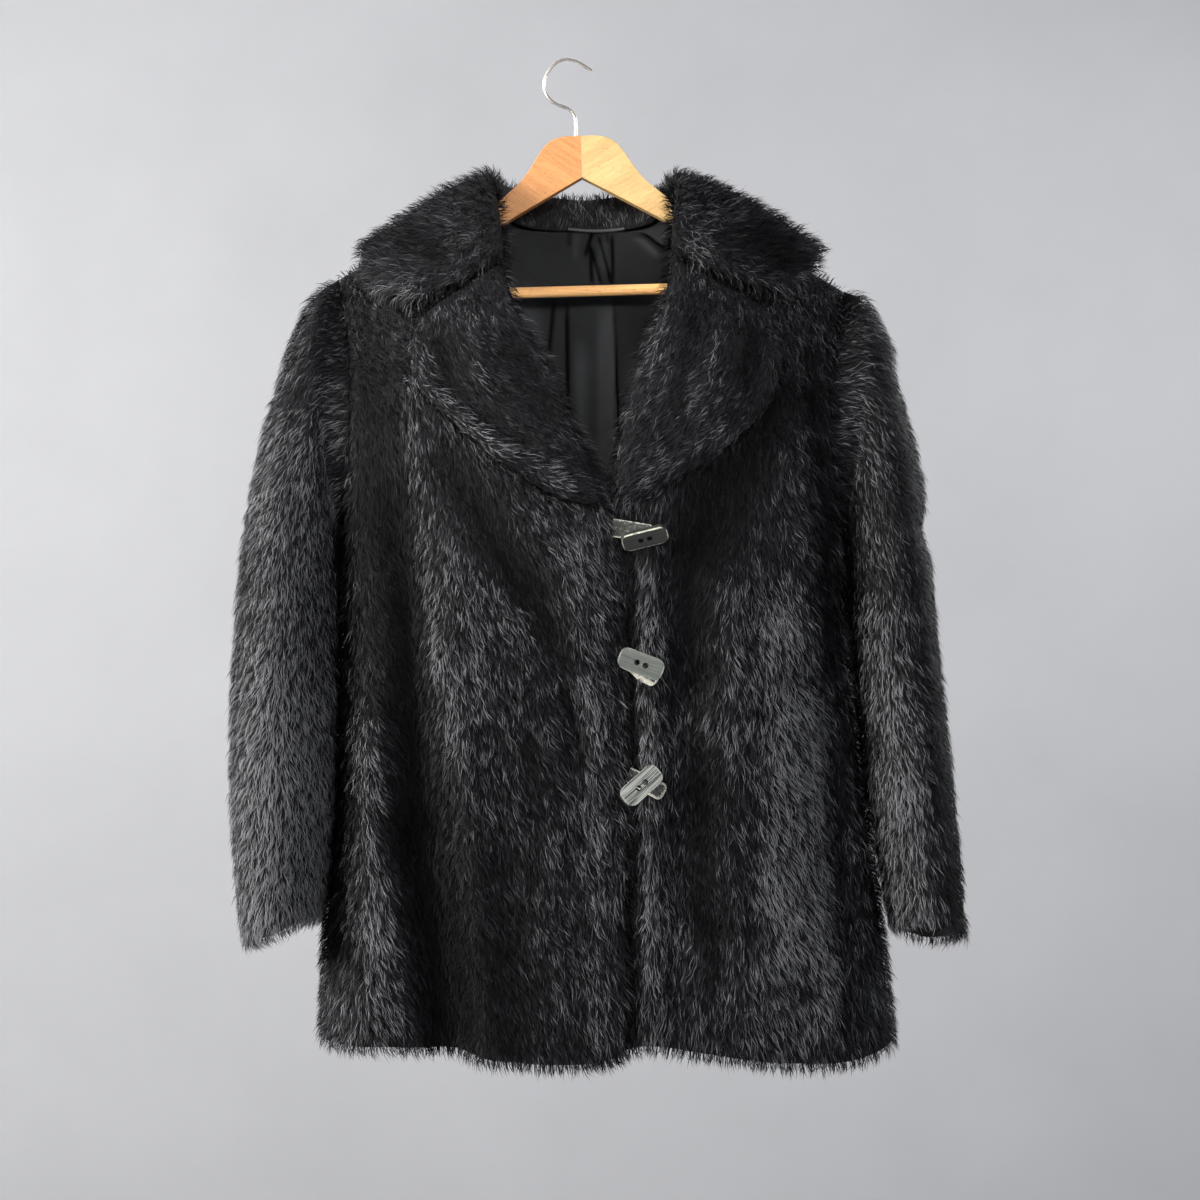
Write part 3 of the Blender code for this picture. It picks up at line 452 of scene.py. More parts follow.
# Lapels: each row runs from the roll line to the lapel's outer edge, top to bottom
LAPELS = {
    "right": table("x_roll z_roll x_edge z_edge",
                   (-56, -203, -128, -250),
                   (-47, -236, -136, -279),
                   (-36, -261, -132, -305),
                   (-20, -288, -116, -326),
                   (-6, -319, -86, -355),
                   (10, -356, -47, -385),
                   (25, -386, -7, -409),
                   (34, -409, 24, -416)),
    "left": table("x_roll z_roll x_edge z_edge",
                  (96, -198, 174, -238),
                  (91, -229, 186, -265),
                  (82, -256, 190, -292),
                  (73, -280, 180, -321),
                  (66, -303, 157, -350),
                  (59, -330, 121, -379),
                  (53, -361, 80, -403),
                  (49, -390, 60, -414)),
}
LAPEL_COLUMNS = 6
LAPEL_EDGE_SHARE = 0.5  # the wall's thickness at its two long edges


def lapel_walls(side):
    """A lapel's two surfaces, laid on the front, thicker in its middle than at its edges."""
    rows = LAPELS[side]
    share = np.linspace(0, 1, LAPEL_COLUMNS + 1)
    x = rows["x_roll"][:, None] + (rows["x_edge"] - rows["x_roll"])[:, None] * share
    z = rows["z_roll"][:, None] + (rows["z_edge"] - rows["z_roll"])[:, None] * share
    under = torso_y(x, z, -1, valleys=False) - LAPEL_GAP
    swell = LAPEL_EDGE_SHARE + (1 - LAPEL_EDGE_SHARE) * (1 - abs(2 * share - 1) ** 3)
    outer = np.stack([x, under - LAPEL_WALL * swell, z], -1)
    return outer, np.stack([x, under, z], -1)


# Collar: stations round the neck, from the right gorge to the left one.
# Each section runs from the neck seam up to the roll, over it and down to the leaf's edge.
COLLAR = table("seam_x seam_y seam_z roll_x roll_y roll_z mid_x mid_y mid_z edge_x edge_y edge_z",
               (-58, -73, -196, -55, -79, -196, -90, -83, -217, -136, -76, -236),
               (-64, -50, -158, -62, -60, -154, -112, -68, -190, -176, -46, -213),
               (-66, -30, -134, -68, -38, -128, -117, -46, -158, -184, -34, -190),
               (-66, -5, -114.5, -74, -6, -105, -122, -6, -127, -186, -10, -170),
               (-57, 8, -128, -69, 16, -105, -112, 24, -130, -180, 22, -186),
               (-48, 18.5, -145.5, -56, 30, -109, -92, 44, -141, -152, 40, -208),
               (-20, 26, -150.4, -24, 39, -115, -46, 58, -148, -80, 60, -220),
               (14, 28.6, -150.5, 14, 42, -119, 14, 62, -150, 14, 64, -224),
               (48, 26, -150.4, 52, 39, -115, 76, 58, -148, 110, 60, -220),
               (78, 17.5, -145.2, 88, 29, -112, 124, 44, -141, 190, 40, -210),
               (86, 8.5, -128.5, 99, 15, -106, 146, 24, -131, 220, 20, -190),
               (96, -5, -115.5, 106, -6, -105, 168, -6, -130, 230, -10, -172),
               (99, -30, -136, 103, -38, -128, 160, -46, -156, 228, -32, -186),
               (101, -50, -158, 99, -60, -154, 150, -68, -186, 218, -44, -205),
               (98, -73, -192, 96, -79, -191, 148, -76, -214, 194, -64, -222))
COLLAR_STATIONS = 29
COLLAR_STEPS = (0.0, 0.5, 1.0, 1.5, 2.0, 2.5, 3.0)


def collar_walls():
    """The collar's outer surface and the one inside its fold."""
    order = np.arange(float(len(COLLAR["seam_x"])))
    around = {"order": order, **COLLAR}
    station = np.linspace(0, order[-1], COLLAR_STATIONS)
    corners = [np.stack([curve(around, "order", f"{point}_{axis}", station) for axis in "xyz"], -1)
               for point in ("seam", "roll", "mid", "edge")]
    section = rows_at(np.array(corners), COLLAR_STEPS)
    normal = grid_normals(section)
    normal[0, :, 2] = 0
    normal[0] = unit(normal[0])
    return section, section - normal * COLLAR_WALL


# ---------------------------------------------------------------- meshes


def add_object(name, data, *materials):
    """An object of a mesh, light or camera, linked to the scene."""
    for material in materials:
        data.materials.append(material)
    thing = bpy.data.objects.new(name, data)
    bpy.context.scene.collection.objects.link(thing)
    return thing


def mesh_of(name, points, faces):
    """A smooth mesh from points in millimetres and faces with the same number of corners."""
    mesh = bpy.data.meshes.new(name)
    count, corners = faces.shape
    mesh.vertices.add(len(points))
    mesh.vertices.foreach_set("co", (points * MM).astype(np.float32).ravel())
    mesh.loops.add(count * corners)
    mesh.loops.foreach_set("vertex_index", faces.astype(np.int32).ravel())
    mesh.polygons.add(count)
    mesh.polygons.foreach_set("loop_start", np.arange(count, dtype=np.int32) * corners)
    mesh.update(calc_edges=True)
    mesh.polygons.foreach_set("use_smooth", np.ones(count, bool))
    return mesh


def give_uv(mesh, name, per_vertex):
    """A UV map with one value for each vertex."""
    corner = np.empty(len(mesh.loops), np.int32)
    mesh.loops.foreach_get("vertex_index", corner)
    layer = mesh.uv_layers.new(name=name)
    layer.data.foreach_set("uv", per_vertex[corner].astype(np.float32).ravel())


def turn_outwards(mesh, close=False):
    """Points the faces out, with open ends closed first if asked."""
    bm = bmesh.new()
    bm.from_mesh(mesh)
    if close:
        bmesh.ops.holes_fill(bm, edges=bm.edges, sides=0)
    bmesh.ops.recalc_face_normals(bm, faces=bm.faces)
    bm.to_mesh(mesh)
    bm.free()


def grid_quads(index):
    """Four corners for each face of a grid of point numbers."""
    quads = np.stack([index[:-1, :-1], index[:-1, 1:], index[1:, 1:], index[1:, :-1]], -1)
    return quads.reshape(-1, 4)


def arc_lengths(grid):
    """How far each grid point is along its row and up its column, in millimetres."""
    along = np.zeros(grid.shape[:2])
    along[:, 1:] = np.cumsum(np.linalg.norm(np.diff(grid, axis=1), axis=-1), axis=1)
    up = np.zeros(grid.shape[:2])
    up[1:] = np.cumsum(np.linalg.norm(np.diff(grid, axis=0), axis=-1), axis=0)
    return along, up


def wall(name, outer, inner, outside, inside, wrap=False):
    """A closed thin wall between two grids of points, with a material for each side."""
    rows, columns = outer.shape[:2]
    count = rows * columns
    index = np.arange(count).reshape(rows, columns)
    if wrap:
        index = np.concatenate([index, index[:, :1]], 1)
    quads = grid_quads(index)
    rims = [index[0], index[-1]] + ([] if wrap else [index[:, 0], index[:, -1]])
    rim_quads = [np.stack([r[:-1], r[1:], r[1:] + count, r[:-1] + count], -1) for r in rims]
    faces = np.concatenate([quads, quads[:, ::-1] + count, *rim_quads])
    mesh = mesh_of(name, np.concatenate([outer.reshape(-1, 3), inner.reshape(-1, 3)]), faces)
    side = np.zeros(len(faces), np.int32)
    side[len(quads):2 * len(quads)] = 1
    mesh.polygons.foreach_set("material_index", side)
    turn_outwards(mesh)
    along, up = arc_lengths(outer)
    grain = np.stack([along.ravel(), up.ravel()], -1) * MM
    give_uv(mesh, "grain", np.concatenate([grain, grain]))
    return add_object(name, mesh, outside, inside)


# ---------------------------------------------------------------- pile

STRAND_WIDTH = 0.62
STRAND_CORNERS = 5      # two at the root, two at the middle and the tip
FOLLOW_CLOTH = 1.6      # how far the strands' shading follows the cloth's own slope
HIDDEN_FACING = 0.3     # cloth whose normal has more y than this faces away from the front
HIDDEN_SPACING = 1.22   # strands there stand this much further apart
LOCK_SIZE = 7.5         # a lock of strands that lean together
LOCK_FIELD = 128        # locks along each side of the field, which then repeats
LOCK_LEAN, STRAND_LEAN = 18, 7    # degrees that a whole lock and one strand stray to the side
LOCK_BEND, STRAND_BEND = 14, 9    # that their tip halves bend on
LOCK_LIFT, STRAND_LIFT = 14, 6    # and that they stand up
CURL = 17               # degrees that a strand is steeper at its root and flatter at its tip
ROOT_DEPTH = 0.8        # strands start this far inside the cloth
MIDDLE_GATHER = 0.16    # share of the way to its lock's middle that a strand's middle is drawn
TIP_GATHER = 0.42       # and its tip on top of that
RAY_START = 1.6         # strands look for neighbours from this far above the cloth
CLEARANCE = 0.6         # and stop this far before them
SHORTEST = 0.35         # a strand is dropped when less than this share of it is left
RIM_SHARES = (0.6, 1)   # how far round a turned edge the two added rows or columns are
rng = np.random.default_rng(7)


def lock_values(seed):
    """Random values for a repeating field of locks. The columns are a lock's place along (also
    its bend), its place up, its lean, its length, its lift and its tone."""
    return np.random.default_rng(seed).random((LOCK_FIELD, LOCK_FIELD, 6))


def nearest_lock(s, t, values):
    """For points in surface millimetres: vector to the nearest lock's middle, and its values."""
    i, j = np.floor(s / LOCK_SIZE).astype(int), np.floor(t / LOCK_SIZE).astype(int)
    best = np.full(s.shape, 1e9)
    away = np.zeros((len(s), 2))
    found = np.zeros((len(s), values.shape[-1]))
    for di in (-1, 0, 1):
        for dj in (-1, 0, 1):
            cell = values[(i + di) % LOCK_FIELD, (j + dj) % LOCK_FIELD]
            centre_s = (i + di + cell[:, 0]) * LOCK_SIZE
            centre_t = (j + dj + cell[:, 1]) * LOCK_SIZE
            distance = (centre_s - s) ** 2 + (centre_t - t) ** 2
            nearer = distance < best
            best = np.where(nearer, distance, best)
            away[nearer] = np.stack([centre_s - s, centre_t - t], -1)[nearer]
            found[nearer] = cell[nearer]
    return away, found


def bilinear(field, i, j, u, v):
    """Values of a grid field inside cells (i, j) at shares (u, v)."""
    if field.ndim == 3:
        u, v = u[:, None], v[:, None]
    j2 = (j + 1) % field.shape[1]
    low = field[i, j] * (1 - u) + field[i, j2] * u
    high = field[i + 1, j] * (1 - u) + field[i + 1, j2] * u
    return low * (1 - v) + high * v


def rimmed(outer, inner, axis, end):
    """Both surfaces with two rows (axis 0) or columns (axis 1) added round one rim, 0 or -1."""
    near, far = np.take(outer, end, axis), np.take(inner, end, axis)
    rim = [near * 0.5 + far * 0.5, far]
    rim = np.stack(rim if end else rim[::-1], axis)
    back = np.stack([far, far], axis)
    order = 1 if end == -1 else -1
    return (np.concatenate([outer, rim][::order], axis),
            np.concatenate([inner, back][::order], axis))


def rolled(outer, inner, rows=(), columns=()):
    """An outer grid carried round some of its rims, and a mask of how far round each point is.
    rows and columns name the rims, 0 or -1."""
    for axis, ends in ((1, columns), (0, rows)):
        for end in ends:
            outer, inner = rimmed(outer, inner, axis, end)
    share = np.zeros(outer.shape[:2])
    for end in columns:
        share[:, [-2, -1] if end else [1, 0]] = RIM_SHARES
    for end in rows:
        share[[-2, -1] if end else [1, 0]] = np.array(RIM_SHARES)[:, None]
    return outer, share


class Pile:
    """Roots, lean and length of the strands on one panel's outer surface."""

    def __init__(self, grid, normal, angle, spacing, length, lift, wrap=False):
        rows, columns = grid.shape[:2]
        rise = unit(np.gradient(grid, axis=0))
        down = unit(-rise + normal * np.sum(rise * normal, -1, keepdims=True))
        side = unit(np.cross(normal, down))
        lean = np.radians(angle)[..., None]
        flow = down * np.cos(lean) + side * np.sin(lean)
        nxt = np.roll(grid, -1, 1) if wrap else grid[:, 1:]
        here = grid if wrap else grid[:, :-1]
        area = np.linalg.norm(np.cross(nxt[1:] - here[:-1], here[1:] - nxt[:-1]), axis=-1) / 2
        hidden = normal[:-1, :area.shape[1], 1] > HIDDEN_FACING
        share = area / (spacing * np.where(hidden, HIDDEN_SPACING, 1)) ** 2
        many = np.floor(share + rng.random(share.shape)).astype(int)
        cells = np.repeat(np.arange(many.size), many.ravel())
        i, j = cells // area.shape[1], cells % area.shape[1]
        u, v = rng.random(len(cells)), rng.random(len(cells))

        def at_roots(field):
            """A number or a field of the grid, read at each root."""
            if np.ndim(field) < 2:
                field = np.full((rows, columns), float(field))
            return bilinear(field, i, j, u, v)

        self.root = at_roots(grid)
        self.normal = unit(at_roots(normal))
        flow = at_roots(flow)
        self.flow = unit(flow - self.normal * np.sum(flow * self.normal, -1, keepdims=True))
        self.across = np.cross(self.normal, self.flow)
        self.along = unit(at_roots(columns_run(grid, wrap)))
        along, up = arc_lengths(grid)
        if wrap:
            step = np.linalg.norm(nxt - here, axis=-1)
            along = np.concatenate([along, along[:, -1:] + step[:, -1:]], 1)
            up = np.concatenate([up, up[:, :1]], 1)
        self.away, self.lock = nearest_lock(at_roots(along), at_roots(up),
                                            lock_values(rows + columns))
        self.length = at_roots(length)
        self.lift = at_roots(lift)

    def points(self, shag):
        """Root, middle and tip of each strand; shag scales how far they stray."""
        count = len(self.root)

        def stray(column, lock, strand):
            return shag * (lock * (self.lock[:, column] - 0.5) + rng.normal(0, strand, count))

        lean = np.radians(stray(2, LOCK_LEAN, STRAND_LEAN))[:, None]
        bend = np.radians(stray(0, LOCK_BEND, STRAND_BEND))[:, None]
        first = np.cos(lean) * self.flow + np.sin(lean) * self.across
        second = np.cos(lean + bend) * self.flow + np.sin(lean + bend) * self.across
        size = self.length * (0.82 + 0.3 * self.lock[:, 3])
        size = (size * rng.normal(1, 0.13, count).clip(0.55, 1.4))[:, None]
        lift = self.lift + stray(4, LOCK_LIFT, STRAND_LIFT)
        steep = np.radians(lift + CURL)[:, None].clip(0.1, 1.5)
        shallow = np.radians(lift - CURL)[:, None].clip(-0.05, 1.4)
        gather = self.away[:, :1] * self.along
        root = self.root - ROOT_DEPTH * self.normal
        middle = root + size * 0.5 * (np.cos(steep) * first + np.sin(steep) * self.normal)
        middle = middle + MIDDLE_GATHER * gather
        tip = middle + size * 0.5 * (np.cos(shallow) * second + np.sin(shallow) * self.normal)
        return root, middle, tip + TIP_GATHER * gather


def clear_of(tree, root, middle, tip, normal):
    """Strands that would pierce a neighbour are shortened to end before it, or dropped."""
    start = root + RAY_START * normal
    share = np.ones(len(root))
    ray = tip - start
    reach = np.linalg.norm(ray, axis=-1)
    for k in range(len(root)):
        hit = tree.ray_cast(Vector(start[k]), Vector(ray[k]), reach[k] + CLEARANCE)
        if hit[0] is not None:
            share[k] = (hit[3] - CLEARANCE) / reach[k]
    kept = share > SHORTEST
    share = share[:, None]
    return kept, root + (middle - root) * share, root + (tip - root) * share


def strands(name, pile, tree, material, tone, shag):
    """A joined mesh of tapered strands, each a short ribbon that ends in a point."""
    root, middle, tip = pile.points(shag)
    kept, middle, tip = clear_of(tree, root, middle, tip, pile.normal)
    root, middle, tip = root[kept], middle[kept], tip[kept]
    normal, lock_tone = pile.normal[kept], pile.lock[kept, 5]
    count = len(root)
    twist = rng.normal(0, 0.5, count).clip(-1, 1)[:, None]
    run = unit(tip - root)
    flat = unit(np.cross(run, normal))
    edge = np.cos(twist) * flat + np.sin(twist) * np.cross(flat, run)
    half = (STRAND_WIDTH / 2 * rng.uniform(0.7, 1.25, count))[:, None]
    points = np.stack([root - edge * half * 0.8, root + edge * half * 0.8,
                       middle - edge * half, middle + edge * half, tip], 1)
    first = np.arange(count)[:, None] * STRAND_CORNERS
    triangles = np.concatenate([first + (0, 1, 3), first + (0, 3, 2), first + (2, 3, 4)], 1)
    mesh = mesh_of(name, points.reshape(-1, 3), triangles.reshape(-1, 3))
    own = unit(np.cross(edge, run))
    shading = np.repeat(unit(FOLLOW_CLOTH * normal + own), STRAND_CORNERS, 0)
    mesh.attributes.new("custom_normal", "FLOAT_VECTOR", "POINT").data.foreach_set(
        "vector", shading.astype(np.float32).ravel())
    shade = 0.3 * lock_tone + 0.7 * rng.random(count)
    # tone adds each piece's painted light and shade, that of its troughs and ridges, and painted
    # sheen patches
    shade = (shade + tone(root)).clip(0.01, 0.99)
    uv = np.stack([shade[:, None] + (-0.004, 0.004, -0.004, 0.004, 0),
                   np.tile((0.02, 0.02, 0.5, 0.5, 0.98), (count, 1))], -1)
    give_uv(mesh, "OFBake", uv.reshape(-1, 2))
    return add_object(name, mesh, material)


def wander(x, z):
    """The nap's slow wandering from its general direction, in degrees."""
    slow = 6 * np.sin(x / 37 + 1.4 * np.sin(z / 61)) * np.sin(z / 53 + 0.7)
    return slow + 4 * np.sin(x / 17 - z / 29 + 1.1 * np.sin(x / 41)) + 3 * np.sin(z / 13 + x / 23)


# ---------------------------------------------------------------- materials


def new_material(name, fixed=None):
    """A material, its node tree and its shader, with the inputs that are the same all over."""
    material = bpy.data.materials.new(name)
    material.use_nodes = True
    shader = material.node_tree.nodes["Principled BSDF"]
    for key, value in (fixed or {}).items():
        shader.inputs[key].default_value = value
    return material, material.node_tree, shader


def put(tree, kind, inputs=None, **settings):
    """A node with its settings and inputs; an input is a value or another node's output."""
    node = tree.nodes.new("ShaderNode" + kind)
    for key, value in settings.items():
        setattr(node, key, value)
    for key, value in (inputs or {}).items():
        if isinstance(value, bpy.types.NodeSocket):
            tree.links.new(value, node.inputs[key])
        else:
            node.inputs[key].default_value = value
    return node


def ramp(tree, source, *stops):
    """A colour ramp from (position, colour) stops; a colour may be one grey value."""
    node = put(tree, "ValToRGB", {"Fac": source})
    band = node.color_ramp
    while len(band.elements) < len(stops):
        band.elements.new(0.5)
    for element, (position, color) in zip(band.elements, stops):
        element.position = position
        element.color = (color,) * 3 + (1,) if isinstance(color, (int, float)) else (*color, 1)
    return node.outputs["Color"]


def uv_place(tree, name="grain"):
    return put(tree, "UVMap", uv_map=name).outputs["UV"]


def object_place(tree):
    return put(tree, "TexCoord").outputs["Object"]


def scaled(tree, coordinates, scale, rotation=(0, 0, 0)):
    return put(tree, "Mapping", {"Vector": coordinates, "Scale": scale,
                                 "Rotation": rotation}).outputs["Vector"]


def noise(tree, coordinates, scale, detail=3.0, roughness=0.55, distortion=0.0):
    return put(tree, "TexNoise", {"Vector": coordinates, "Scale": scale, "Detail": detail,
                                  "Roughness": roughness, "Distortion": distortion}).outputs["Fac"]


def waves(tree, coordinates, scale, distortion, detail):
    return put(tree, "TexWave", {"Vector": coordinates, "Scale": scale, "Distortion": distortion,
                                 "Detail": detail}).outputs["Fac"]


def value_of(tree, operation, *values):
    return put(tree, "Math", dict(enumerate(values)), operation=operation).outputs[0]


def times(tree, a, b):
    return value_of(tree, "MULTIPLY", a, b)


def mixed(tree, factor, a, b, blend="MIX"):
    node = put(tree, "Mix", {0: factor, 6: a, 7: b}, data_type="RGBA", blend_type=blend)
    return node.outputs[2]


def multiplied(tree, shade, source, *stops):
    """A colour multiplied by a ramp."""
    return mixed(tree, 1.0, shade, ramp(tree, source, *stops), "MULTIPLY")


def plug(shader, name, socket):
    shader.id_data.links.new(socket, shader.inputs[name])


def bumped(tree, shader, height, distance):
    bump = put(tree, "Bump", {"Height": height, "Distance": distance})
    plug(shader, "Normal", bump.outputs["Normal"])


def pile_material():
    """Strands: near black at the root, greyer towards the tip, each a little different."""
    material, tree, shader = new_material("fur_strands", {"Roughness": 0.55,
                                                          "Specular IOR Level": 0.07})
    parts = put(tree, "SeparateXYZ", {"Vector": uv_place(tree, "OFBake")}).outputs
    # X: each strand's tone, painted light and shade included; Y: from root to tip
    shade = ramp(tree, parts["X"], (0.0, (0.0012, 0.0012, 0.0016)), (0.4, (0.006, 0.006, 0.0075)),
                 (0.7, (0.042, 0.042, 0.046)), (1.0, (0.25, 0.25, 0.26)))
    shade = multiplied(tree, shade, parts["Y"], (0.0, 0.12), (0.45, 0.55), (1.0, 1.0))
    plug(shader, "Base Color", shade)
    return material


def fur_base_material():
    """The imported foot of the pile: dark, streaked along the nap."""
    material, tree, shader = new_material("fur_base", {"Roughness": 0.75,
                                                       "Specular IOR Level": 0.15})
    place = uv_place(tree)
    streaks = noise(tree, scaled(tree, place, (850, 85, 1)), 1.0, 3.0, 0.6, 0.3)
    blotches = noise(tree, scaled(tree, place, (55, 30, 1)), 1.0, 2.0)
    shade = ramp(tree, streaks, (0.35, (0.003, 0.003, 0.0035)), (0.62, (0.022, 0.022, 0.024)),
                 (0.8, (0.05, 0.05, 0.053)))
    plug(shader, "Base Color", multiplied(tree, shade, blotches, (0.3, 0.6), (0.7, 1.0)))
    bumped(tree, shader, streaks, 0.0015)
    return material


def knit_material():
    """The dull woven back of the cloth, where a turned edge or the inside shows it."""
    material, tree, shader = new_material("knit_back", {"Roughness": 0.8})
    place = uv_place(tree)
    threads = waves(tree, place, 260.0, 1.5, 2.0)
    shade = ramp(tree, threads, (0.2, (0.006, 0.006, 0.007)), (0.9, (0.024, 0.024, 0.026)))
    shade = multiplied(tree, shade, noise(tree, place, 60.0, 4.0), (0.3, 0.6), (0.7, 1.0))
    plug(shader, "Base Color", shade)
    bumped(tree, shader, threads, 0.0003)
    return material


def satin_material():
    """Black satin: a soft faint sheen, a fine weave, uneven wear, and painted shade in the creases'
    troughs with painted light on their crests.
    """
    material, tree, shader = new_material("satin", {"Specular IOR Level": 0.035})
    place = uv_place(tree)
    weave = waves(tree, place, 700.0, 0.6, 1.0)
    cloud = noise(tree, scaled(tree, place, (14, 7, 1)), 1.0, 4.0)
    shade = ramp(tree, cloud, (0.3, (0.0115, 0.0118, 0.0126)), (0.7, (0.0195, 0.0200, 0.0211)))
    # The crease map's X carries painted shade in troughs and painted light on crests
    depth = put(tree, "SeparateXYZ", {"Vector": uv_place(tree, "crease")}).outputs["X"]
    shade = multiplied(tree, shade, depth, (0.12, 0.06), (0.44, 0.9), (0.56, 1.1), (0.95, 2.2))
    plug(shader, "Base Color", shade)
    plug(shader, "Roughness", ramp(tree, noise(tree, place, 90.0), (0.3, 0.44), (0.7, 0.56)))
    bumped(tree, shader, weave, 0.00006)
    return material


def wood_material(name, slope, light, dark):
    """Bare beech or pine along an arm: fine straight fibres, short pores, faint broad bands."""
    material, tree, shader = new_material(name)
    grain = scaled(tree, object_place(tree), (1, 1, 1), rotation=(0, slope, 0))
    fibre = noise(tree, scaled(tree, grain, (35, 420, 900)), 1.0, 4.0, 0.6, 0.4)
    band = noise(tree, scaled(tree, grain, (6, 40, 75)), 1.0, 2.0, 0.5, 1.0)
    pores = noise(tree, scaled(tree, grain, (220, 900, 2600)), 1.0, 1.0)
    shade = ramp(tree, fibre, (0.3, dark), (0.62, light))
    shade = multiplied(tree, shade, band, (0.35, (0.86, 0.82, 0.78)), (0.65, 1.0))
    shade = multiplied(tree, shade, pores, (0.30, (0.62, 0.5, 0.4)), (0.36, 1.0))
    plug(shader, "Base Color", shade)
    plug(shader, "Roughness", ramp(tree, fibre, (0.3, 0.62), (0.7, 0.48)))
    bumped(tree, shader, fibre, 0.00015)
    return material


def wire_material():
    """Bright wire with faint brown stains."""
    material, tree, shader = new_material("wire", {"Metallic": 1.0})
    place = object_place(tree)
    stain = noise(tree, place, 160.0, 5.0)
    plug(shader, "Base Color",
         ramp(tree, stain, (0.35, (0.42, 0.36, 0.30)), (0.6, (0.72, 0.69, 0.64))))
    plug(shader, "Roughness", ramp(tree, stain, (0.3, 0.45), (0.7, 0.24)))
    bumped(tree, shader, noise(tree, place, 1500.0), 0.00005)
    return material


def own_frame(tree, centre, rotation):
    """A piece's own coordinates: x along it, z across and y through it."""
    own = put(tree, "Mapping", {"Vector": object_place(tree), "Location": centre,
                                "Rotation": rotation}, vector_type="TEXTURE").outputs["Vector"]
    return own, put(tree, "SeparateXYZ", {"Vector": own}).outputs


TOGGLE_SCALE_X = 50.0   # makes 1 of a toggle's half length, in metres
TOGGLE_SCALE_Z = 108.0  # makes 1 of its half width
HOLE_X = 0.0039         # its two holes are this far from its middle
HOLE_SCALE = 200.0


def power_of_size(tree, value, power):
    return value_of(tree, "POWER", value_of(tree, "ABSOLUTE", value), power)


def horn_material(name, centre, rotation, light, dark, streak, spread, rim):
    """Grey horn-look plastic with grain along the toggle's length, a pale rim on its front face
    that is a painted highlight broken into patches like rubbed wear, and black holes."""
    material, tree, shader = new_material(name)
    own, (x, y, z) = own_frame(tree, centre, rotation)
    lines = noise(tree, scaled(tree, own, (22, 200, streak)), 1.0, 3.0, 0.6, 0.5)
    cloud = noise(tree, own, 110.0, 3.0)
    fine = noise(tree, scaled(tree, own, (120, 500, 2600)), 1.0, 2.0)
    shade = ramp(tree, lines, (0.5 - spread, dark), (0.5 + spread, light))
    shade = multiplied(tree, shade, cloud, (0.3, 0.78), (0.7, 1.0))
    shade = multiplied(tree, shade, fine, (0.35, 0.8), (0.65, 1.0))
    # The pale rim is a painted highlight: only on the front face, along the outline, in patches
    fore = value_of(tree, "SUBTRACT", 0.5, times(tree, y, 400.0))
    fore = ramp(tree, fore, (0.72, 0.0), (1.0, 1.0))
    reach = value_of(tree, "ADD", power_of_size(tree, times(tree, x, TOGGLE_SCALE_X), 7.0),
                     power_of_size(tree, times(tree, z, TOGGLE_SCALE_Z), 7.0))
    rim_highlight = times(tree, ramp(tree, reach, (0.66, 0.0), (0.92, 1.0)),
                   ramp(tree, noise(tree, own, 420.0, 3.0), (0.40, 0.3), (0.58, 1.0)))
    shade = mixed(tree, times(tree, rim_highlight, fore), shade, (*rim, 1))
    hole_x = value_of(tree, "SUBTRACT", value_of(tree, "ABSOLUTE", x), HOLE_X)
    hole = value_of(tree, "SQRT", value_of(tree, "ADD", times(tree, hole_x, hole_x),
                                           times(tree, z, z)))
    shade = multiplied(tree, shade, times(tree, hole, HOLE_SCALE), (0.482, 0.01), (0.50, 0.55),
                       (0.60, 1.0))
    plug(shader, "Base Color", shade)
    plug(shader, "Roughness", ramp(tree, lines, (0.3, 0.52), (0.7, 0.36)))
    bumped(tree, shader, lines, 0.00025)
    return material


def leather_material(name, centre, rotation, half_width, length):
    """Thin black leathercloth, cracked, worn pale along its cut and stitched edges."""
    material, tree, shader = new_material(name)
    own, (x, _, z) = own_frame(tree, centre, rotation)
    grain = put(tree, "TexVoronoi", {"Vector": own, "Scale": 1100.0}).outputs["Distance"]
    wear = noise(tree, own, 420.0, 6.0, 0.7)
    across = value_of(tree, "DIVIDE", value_of(tree, "ABSOLUTE", z), half_width)
    end = value_of(tree, "DIVIDE", x, length)
    edge = value_of(tree, "MAXIMUM", value_of(tree, "POWER", across, 6.0),
                    power_of_size(tree, end, 14.0))
    frayed = value_of(tree, "ADD", wear, times(tree, edge, 0.32))
    shade = ramp(tree, frayed, (0.50, (0.020, 0.021, 0.018)), (0.62, (0.075, 0.076, 0.066)),
                 (0.72, (0.52, 0.50, 0.42)))
    plug(shader, "Base Color", multiplied(tree, shade, grain, (0.0, 0.45), (0.35, 1.0)))
    plug(shader, "Roughness", ramp(tree, wear, (0.4, 0.45), (0.7, 0.8)))
    bumped(tree, shader, grain, 0.0004)
    return material


def thread_material(name, color):
    """Twisted thread or cord."""
    material, tree, shader = new_material(name, {"Roughness": 0.7})
    twist = noise(tree, object_place(tree), 1400.0, 2.0)
    pale = tuple(min(1, 2.4 * c) for c in color)
    plug(shader, "Base Color", ramp(tree, twist, (0.35, color), (0.65, pale)))
    bumped(tree, shader, twist, 0.0002)
    return material


# ---------------------------------------------------------------- pieces

fur_base = fur_base_material()
fur = pile_material()
knit = knit_material()
satin = satin_material()
PILE_LENGTH = 14.0
PILE_LIFT = 34.0        # degrees off the cloth
PILE_SPACING = 1.95
RIM_LIFT = 64           # degrees off the cloth on a turned edge

# How the nap leans across each front, in degrees; positive is towards the viewer's right
NAP = {
    "right": table("x angle", (-215, 0), (-190, 12), (-165, 30), (-146, 34), (-128, 8),
                   (-100, 12), (-60, 18), (-20, 20), (20, 20), (52, 14)),
    "left": table("x angle", (10, 14), (60, 12), (95, -6), (130, -2), (170, 4), (210, 10),
                  (250, -4), (290, -8)),
}
SLEEVE_NAP = {"right": -4, "left": 8}
LAPEL_NAP = {"right": 22, "left": -6}
